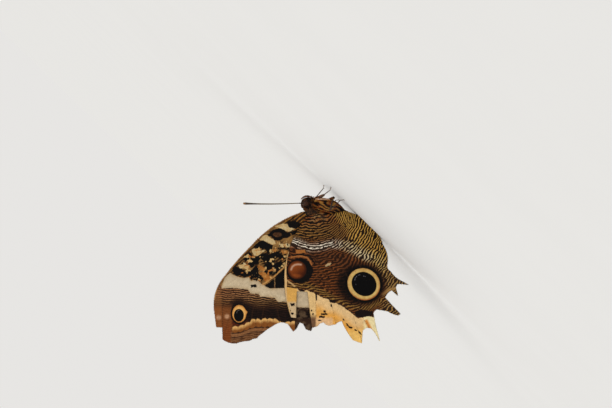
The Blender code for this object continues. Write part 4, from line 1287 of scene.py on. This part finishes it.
# ------------------------------------------------------------------- feelers
def feeler_shader():
    s = Shader("feeler", Roughness=0.5, Specular_IOR_Level=0.4)
    fine = s.noise(0.08, 1.0)
    g = s.step(fine, 0.2, 0.8, 0.8, 1.2)
    tint = s.add("CombineColor", {0: g, 1: g, 2: g}).outputs[0]
    s.bump(fine, 0.3, 0.03)
    return s.finish(s.mix(1.0, s.colour("tone"), tint, "MULTIPLY"))


limb_mat = feeler_shader()
for side, word in ((-1, "right"), (1, "left")):
    base = np.array((ANTENNA_BASE[0], side * ANTENNA_BASE[1], ANTENNA_BASE[2]))
    tip = np.array((ANTENNA_TIP[0], side * ANTENNA_TIP[1], ANTENNA_TIP[2]))
    length = np.linalg.norm(tip - base)
    joints = 52
    t, r = [], []
    for j in range(joints):
        for u, swell in ((0.0, 0.90), (0.25, 1.0), (0.75, 1.04), (0.97, 0.98)):
            a = (j + u) / joints
            left = (1 - a) * length
            club = min(1.0, max(0.0, 1 - (left - 1.2) / (CLUB_LENGTH + 1.5))) if left > 1.2 else 0.3 + 0.7 * math.sqrt(max(left, 0.02) / 1.2)
            t.append(a)
            r.append((0.19 + (0.44 - 0.19) * club * club) * swell)
    t, r = np.array(t), np.array(r)
    r[:6] = (0.24, 0.27, 0.25, 0.2, 0.17, 0.165)
    path = base + (tip - base) * t[:, None]
    path[:, 2] += 0.45 * np.sin(np.pi * t)
    inward = path[0] - np.array((27.0, side * 0.6, 14.6))
    root = path[0] - inward * np.linspace(0.75, 0.1, 7)[:, None]
    grid = tube_grid(np.vstack([root, path]), np.concatenate([np.interp(np.arange(7), (0, 3, 6), (0.30, 0.36, 0.26)), r]), 14)
    v, f, at = grid_mesh([grid])
    at = np.clip((at * (len(path) + 6) - 7) / (len(path) - 1), 0, 1)
    ringed = np.abs((at * joints) % 1 - 0.02) < 0.12
    tone = blend(np.broadcast_to(rgb(92, 76, 46), v.shape), rgb(146, 128, 88), ringed * 0.5 * (at < 0.7))
    tone = blend(tone, rgb(58, 44, 30), soft(0.74 - at, 0.04) * 0.9)
    tone = blend(tone, rgb(128, 88, 46), soft(0.965 - at, 0.012))
    tone = blend(tone, rgb(60, 44, 30), soft(at - 0.04, 0.02))
    outward(mesh_piece("feeler_" + word, v, f, ("antenna_" + word,), None, {"tone": tone}, limb_mat))


# ---------------------------------------------------------------------- legs
def walking_limb(name, joints, side, node, seed):
    rng = np.random.default_rng(seed)
    hip, knee, ankle, toe = [np.array((x, side * y, z)) for x, y, z in joints]
    hip = hip + (knee - hip) * 0.02
    toe = toe * (1, 1, 0) + np.array((0, 0, 0.20))
    end = toe + np.array(((toe - ankle)[0] * 0.4, side * 0.95, -0.015))
    grids, tones, spines = [], [], []

    def limb(path, radii, sides=14):
        grids.append(tube_grid(path, radii, sides))

    t = np.linspace(0, 1, 12)
    bow = np.sin(np.pi * t)[:, None] * np.array((0, side * 0.10, 0.12))
    chest = np.array((hip[0] + 0.9, side * 1.7, hip[2] + 4.2))
    coxa = smooth_path([chest, (chest + hip) / 2 + np.array((0.15, side * 0.35, 0)), hip, hip + (knee - hip) * 0.10], 5)
    limb(coxa, np.interp(np.linspace(0, 1, len(coxa)), (0, 0.35, 0.8, 1), (0.85, 0.72, 0.46, 0.36)), 18)
    limb(hip + (knee - hip) * t[:, None] + bow, 0.22 + 0.17 * np.sin(np.pi * (t * 0.8 + 0.12)) ** 1.0)
    limb(knee + (ankle - knee) * t[:, None] + bow * 0.6, np.interp(t, (0, 0.06, 0.5, 0.94, 1), (0.20, 0.25, 0.215, 0.205, 0.18)))
    # five tarsal joints down to the foot
    chain = [ankle + (toe - ankle) * u for u in (0, 0.42, 0.62, 0.78)] + [toe + (end - toe) * u for u in (0.0, 0.45, 1.0)]
    chain = chain[:4] + [chain[4], chain[5], chain[6]]
    for a, b in zip(chain, chain[1:]):
        u = np.linspace(0, 1, 6)
        limb(a + (b - a) * u[:, None], np.interp(u, (0, 0.15, 0.8, 1), (0.125, 0.165, 0.18, 0.14)), 12)
    # spurs at the ankle, spines along shin and foot, two claws
    way = (ankle - knee) / np.linalg.norm(ankle - knee)
    for s in (-1, 1):
        grids.append(cone_grid(ankle - way * 0.3, ankle + way * 0.35 + np.array((s * 0.42, 0, -0.05)), 0.05))
    for j in range(26):
        u = 0.1 + 0.85 * j / 26
        a = knee + (ankle - knee) * u
        side_way = np.array((rng.choice((-1, 1)) * 0.30, side * 0.05, rng.uniform(-0.12, 0.06)))
        grids.append(cone_grid(a, a + side_way + way * 0.18, 0.028, 4))
    for a, b in zip(chain, chain[1:]):
        for u in (0.35, 0.65, 0.9):
            q = a + (b - a) * u
            for s in (-1, 1):
                grids.append(cone_grid(q, q + np.array((s * 0.22, side * 0.06, 0.02)), 0.022, 4))
    tip_way = (end - toe) / np.linalg.norm(end - toe)
    for s in (-1, 1):
        claw_end = end + tip_way * 0.22 + np.array((s * 0.16, 0, 0.0))
        claw_end[2] = 0.035
        grids.append(cone_grid(end - tip_way * 0.05 + np.array((s * 0.05, 0, 0.02)), claw_end, 0.05, 6, (s * 0.05, 0, 0.06)))
    v, f, at = grid_mesh(grids)
    v[:, 2] = np.maximum(v[:, 2], 0.0)
    low, high = np.array(cad_box[0]) / MM, np.array(cad_box[1]) / MM
    v = np.clip(v, low, high)
    stripe = noise(v * (1, 1, 0.6), 1.1, seed)
    tone = blend(np.broadcast_to(rgb(46, 32, 24), v.shape), rgb(84, 60, 42), np.clip(stripe + 0.4, 0, 1))
    shin = soft(v[:, 2] - 1.6, 0.4)
    tone = blend(tone, rgb(128, 96, 66), shin * 0.45)
    outward(mesh_piece(name, v, f, (node,), None, {"tone": tone}, limb_mat))
    # flat scales on thigh and shin
    for k, (a, b, count, wide) in enumerate(((hip, knee, 1300, 0.40), (knee, ankle, 900, 0.245))):
        t = np.linspace(0, 1, 12)
        bow2 = np.sin(np.pi * t)[:, None] * np.array((0, side * 0.10, 0.12)) * (1.0 if k == 0 else 0.6)
        g = tube_grid(a + (b - a) * t[:, None] + bow2, np.full(12, wide) * np.interp(t, (0, 0.3, 0.8, 1), (0.75, 1, 0.9, 0.7)), 12)
        p, out, tail, uv, at = sample_grid(g, t, 0.03, 0.97, count, rng)
        pale = soft(np.abs(noise(p, 0.9, seed + 3)) - 0.12, 0.1)
        tone = blend(np.broadcast_to(rgb(50, 34, 25), p.shape), rgb(150, 122, 92), pale * 0.7)
        tufts("coat_%s_%d" % (name, k), p, out, tail, 0.42, 0.07, 9, tone, uv * (1, 0.5) + (0, 0.5 * k), rng,
              lambda q: np.column_stack([q[:, 0], q[:, 1], np.maximum(q[:, 2], 0.05)]))
    # the coxa wears the chest's own hair
    g = tube_grid(coxa, np.interp(np.linspace(0, 1, len(coxa)), (0, 0.35, 0.8, 1), (0.83, 0.70, 0.46, 0.36)), 16)
    p, out, tail, uv, at = sample_grid(g, np.linspace(0, 1, len(coxa)), 0, 1, 1500, rng)
    tufts("coat_coxa_" + name, p, out, tail, 0.75, 0.09, 13, body_tone(p, np.full(len(p), 0.45)), uv, rng)


MID_RIGHT = ((23.2, 1.8, 5.1), (23.7, 6.8, 7.8), (22.6, 11.0, 1.5), (23.2, 13.4, 0.24))
MID_LEFT = ((23.6, 1.8, 5.5), (25.2, 6.8, 8.2), (25.7, 11.0, 1.5), (26.5, 13.4, 0.24))
HIND_RIGHT = ((18.6, 2.3, 2.3), (15.4, 7.6, 8.7), (15.2, 11.0, 1.5), (14.2, 13.4, 0.24))
HIND_LEFT = ((18.8, 2.3, 2.3), (16.4, 7.6, 8.3), (16.6, 11.0, 1.5), (15.6, 13.4, 0.24))
walking_limb("leg_mid_limb_right", MID_RIGHT, -1, "leg_mid_right", 51)
walking_limb("leg_mid_limb_left", MID_LEFT, 1, "leg_mid_left", 52)
walking_limb("leg_hind_limb_right", HIND_RIGHT, -1, "leg_hind_right", 53)
walking_limb("leg_hind_limb_left", HIND_LEFT, 1, "leg_hind_left", 54)

# the brush-like front legs, folded along the chest
FRONT = ((24.9, 3.1, 9.6), (23.2, 3.95, 7.9), (21.2, 4.35, 6.0), (19.8, 4.15, 4.8))
for side, word in ((-1, "right"), (1, "left")):
    path = smooth_path([(x, side * y, z) for x, y, z in FRONT], 6)
    grid = tube_grid(path, np.interp(np.linspace(0, 1, len(path)), (0, 0.2, 0.7, 1), (0.26, 0.34, 0.32, 0.16)), 14)
    v, f, at = grid_mesh([grid])
    tone = blend(np.broadcast_to(rgb(176, 120, 82), v.shape), rgb(120, 76, 48), noise(v, 1.0, 9) * 0.5 + 0.5)
    outward(mesh_piece("front_leg_core_" + word, v, f, ("leg_front_" + word,), None, {"tone": tone}, skin_mat))
    rng = np.random.default_rng(61)
    p, out, tail, uv, at = sample_grid(grid, np.linspace(0, 1, len(path)), 0, 1, 1700, rng)
    tone = blend(np.broadcast_to(rgb(232, 198, 168), p.shape), rgb(200, 142, 98), soft(-noise(p, 0.8, 8), 0.3) * 0.7)
    tone = blend(tone, rgb(70, 44, 30), soft(0.5 - noise(p, 0.6, 13), 0.1) * 0.7)
    tufts("coat_front_leg_" + word, p, out, tail, 0.6, 0.07, 13, tone, uv, rng)

# ------------------------------------------------------- floor, light, camera
ELEVATION = math.radians(3.0)
TARGET = Vector((0.02655, 0.0, 0.0145))
DISTANCE = 0.884

back = Vector((0, -math.cos(ELEVATION), math.sin(ELEVATION)))
across, up = Vector((1, 0, 0)), Vector((0, math.sin(ELEVATION), math.cos(ELEVATION)))
right = -0.7193 * across - 0.6947 * up
top = 0.6947 * across - 0.7193 * up
cam_data = bpy.data.cameras.new("camera")
cam_data.lens, cam_data.sensor_width = 100.0, 36.0
cam_data.clip_start, cam_data.clip_end = 0.01, 50.0
camera = bpy.data.objects.new("camera", cam_data)
bpy.context.scene.collection.objects.link(camera)
place = TARGET + back * DISTANCE
camera.matrix_world = Matrix(((right.x, top.x, back.x, place.x), (right.y, top.y, back.y, place.y),
                              (right.z, top.z, back.z, place.z), (0, 0, 0, 1)))
bpy.context.scene.camera = camera

# a wide round floor
turns = 96
rings = [0.001, 0.1, 0.3, 1.0, 4.0, 15.0, 60.0]
pts = np.array([[(r * math.cos(2 * math.pi * k / turns), r * math.sin(2 * math.pi * k / turns), 0.0)
                 for k in range(turns)] for r in rings]) / MM
fv, ff, _ = grid_mesh([pts])
me = bpy.data.meshes.new("studio_floor")
me.from_pydata((fv[:-2] * MM).tolist(), [], ff[0].tolist() + [list(range(turns))])
me.shade_smooth()
floor = bpy.data.objects.new("studio_floor", me)
bpy.context.scene.collection.objects.link(floor)
s = Shader("floor_paper", Roughness=1.0, Specular_IOR_Level=0.0)
me.materials.append(s.finish(s.mix(s.step(s.noise(60.0, 3.0), 0.3, 0.7), (*rgb(227, 227, 226), 1), (*rgb(228, 228, 227), 1))))
outward(floor)


def lamp(name, way, strength, tint):
    """A broad soft light from that direction."""
    data = bpy.data.lights.new(name, "SUN")
    data.energy, data.angle, data.color = strength, math.radians(28), tint
    ob = bpy.data.objects.new(name, data)
    ob.location = Vector(way)
    ob.rotation_euler = (-Vector(way)).to_track_quat("-Z", "Y").to_euler()
    bpy.context.scene.collection.objects.link(ob)


lamp("key", (0.5, -0.80, 0.42), 0.85, (1.0, 0.98, 0.95))
lamp("fill", (-0.8, -0.6, 0.5), 0.25, (0.96, 0.98, 1.0))
lamp("rear", (0.1, 1.0, 0.5), 0.7, (1.0, 0.99, 0.97))
world = bpy.data.worlds.new("studio")
bpy.context.scene.world = world
world.use_nodes = True
world.node_tree.nodes["Background"].inputs[0].default_value = (1.0, 0.985, 0.962, 1.0)
world.node_tree.nodes["Background"].inputs[1].default_value = 0.80
bpy.context.scene.view_settings.view_transform = "Standard"
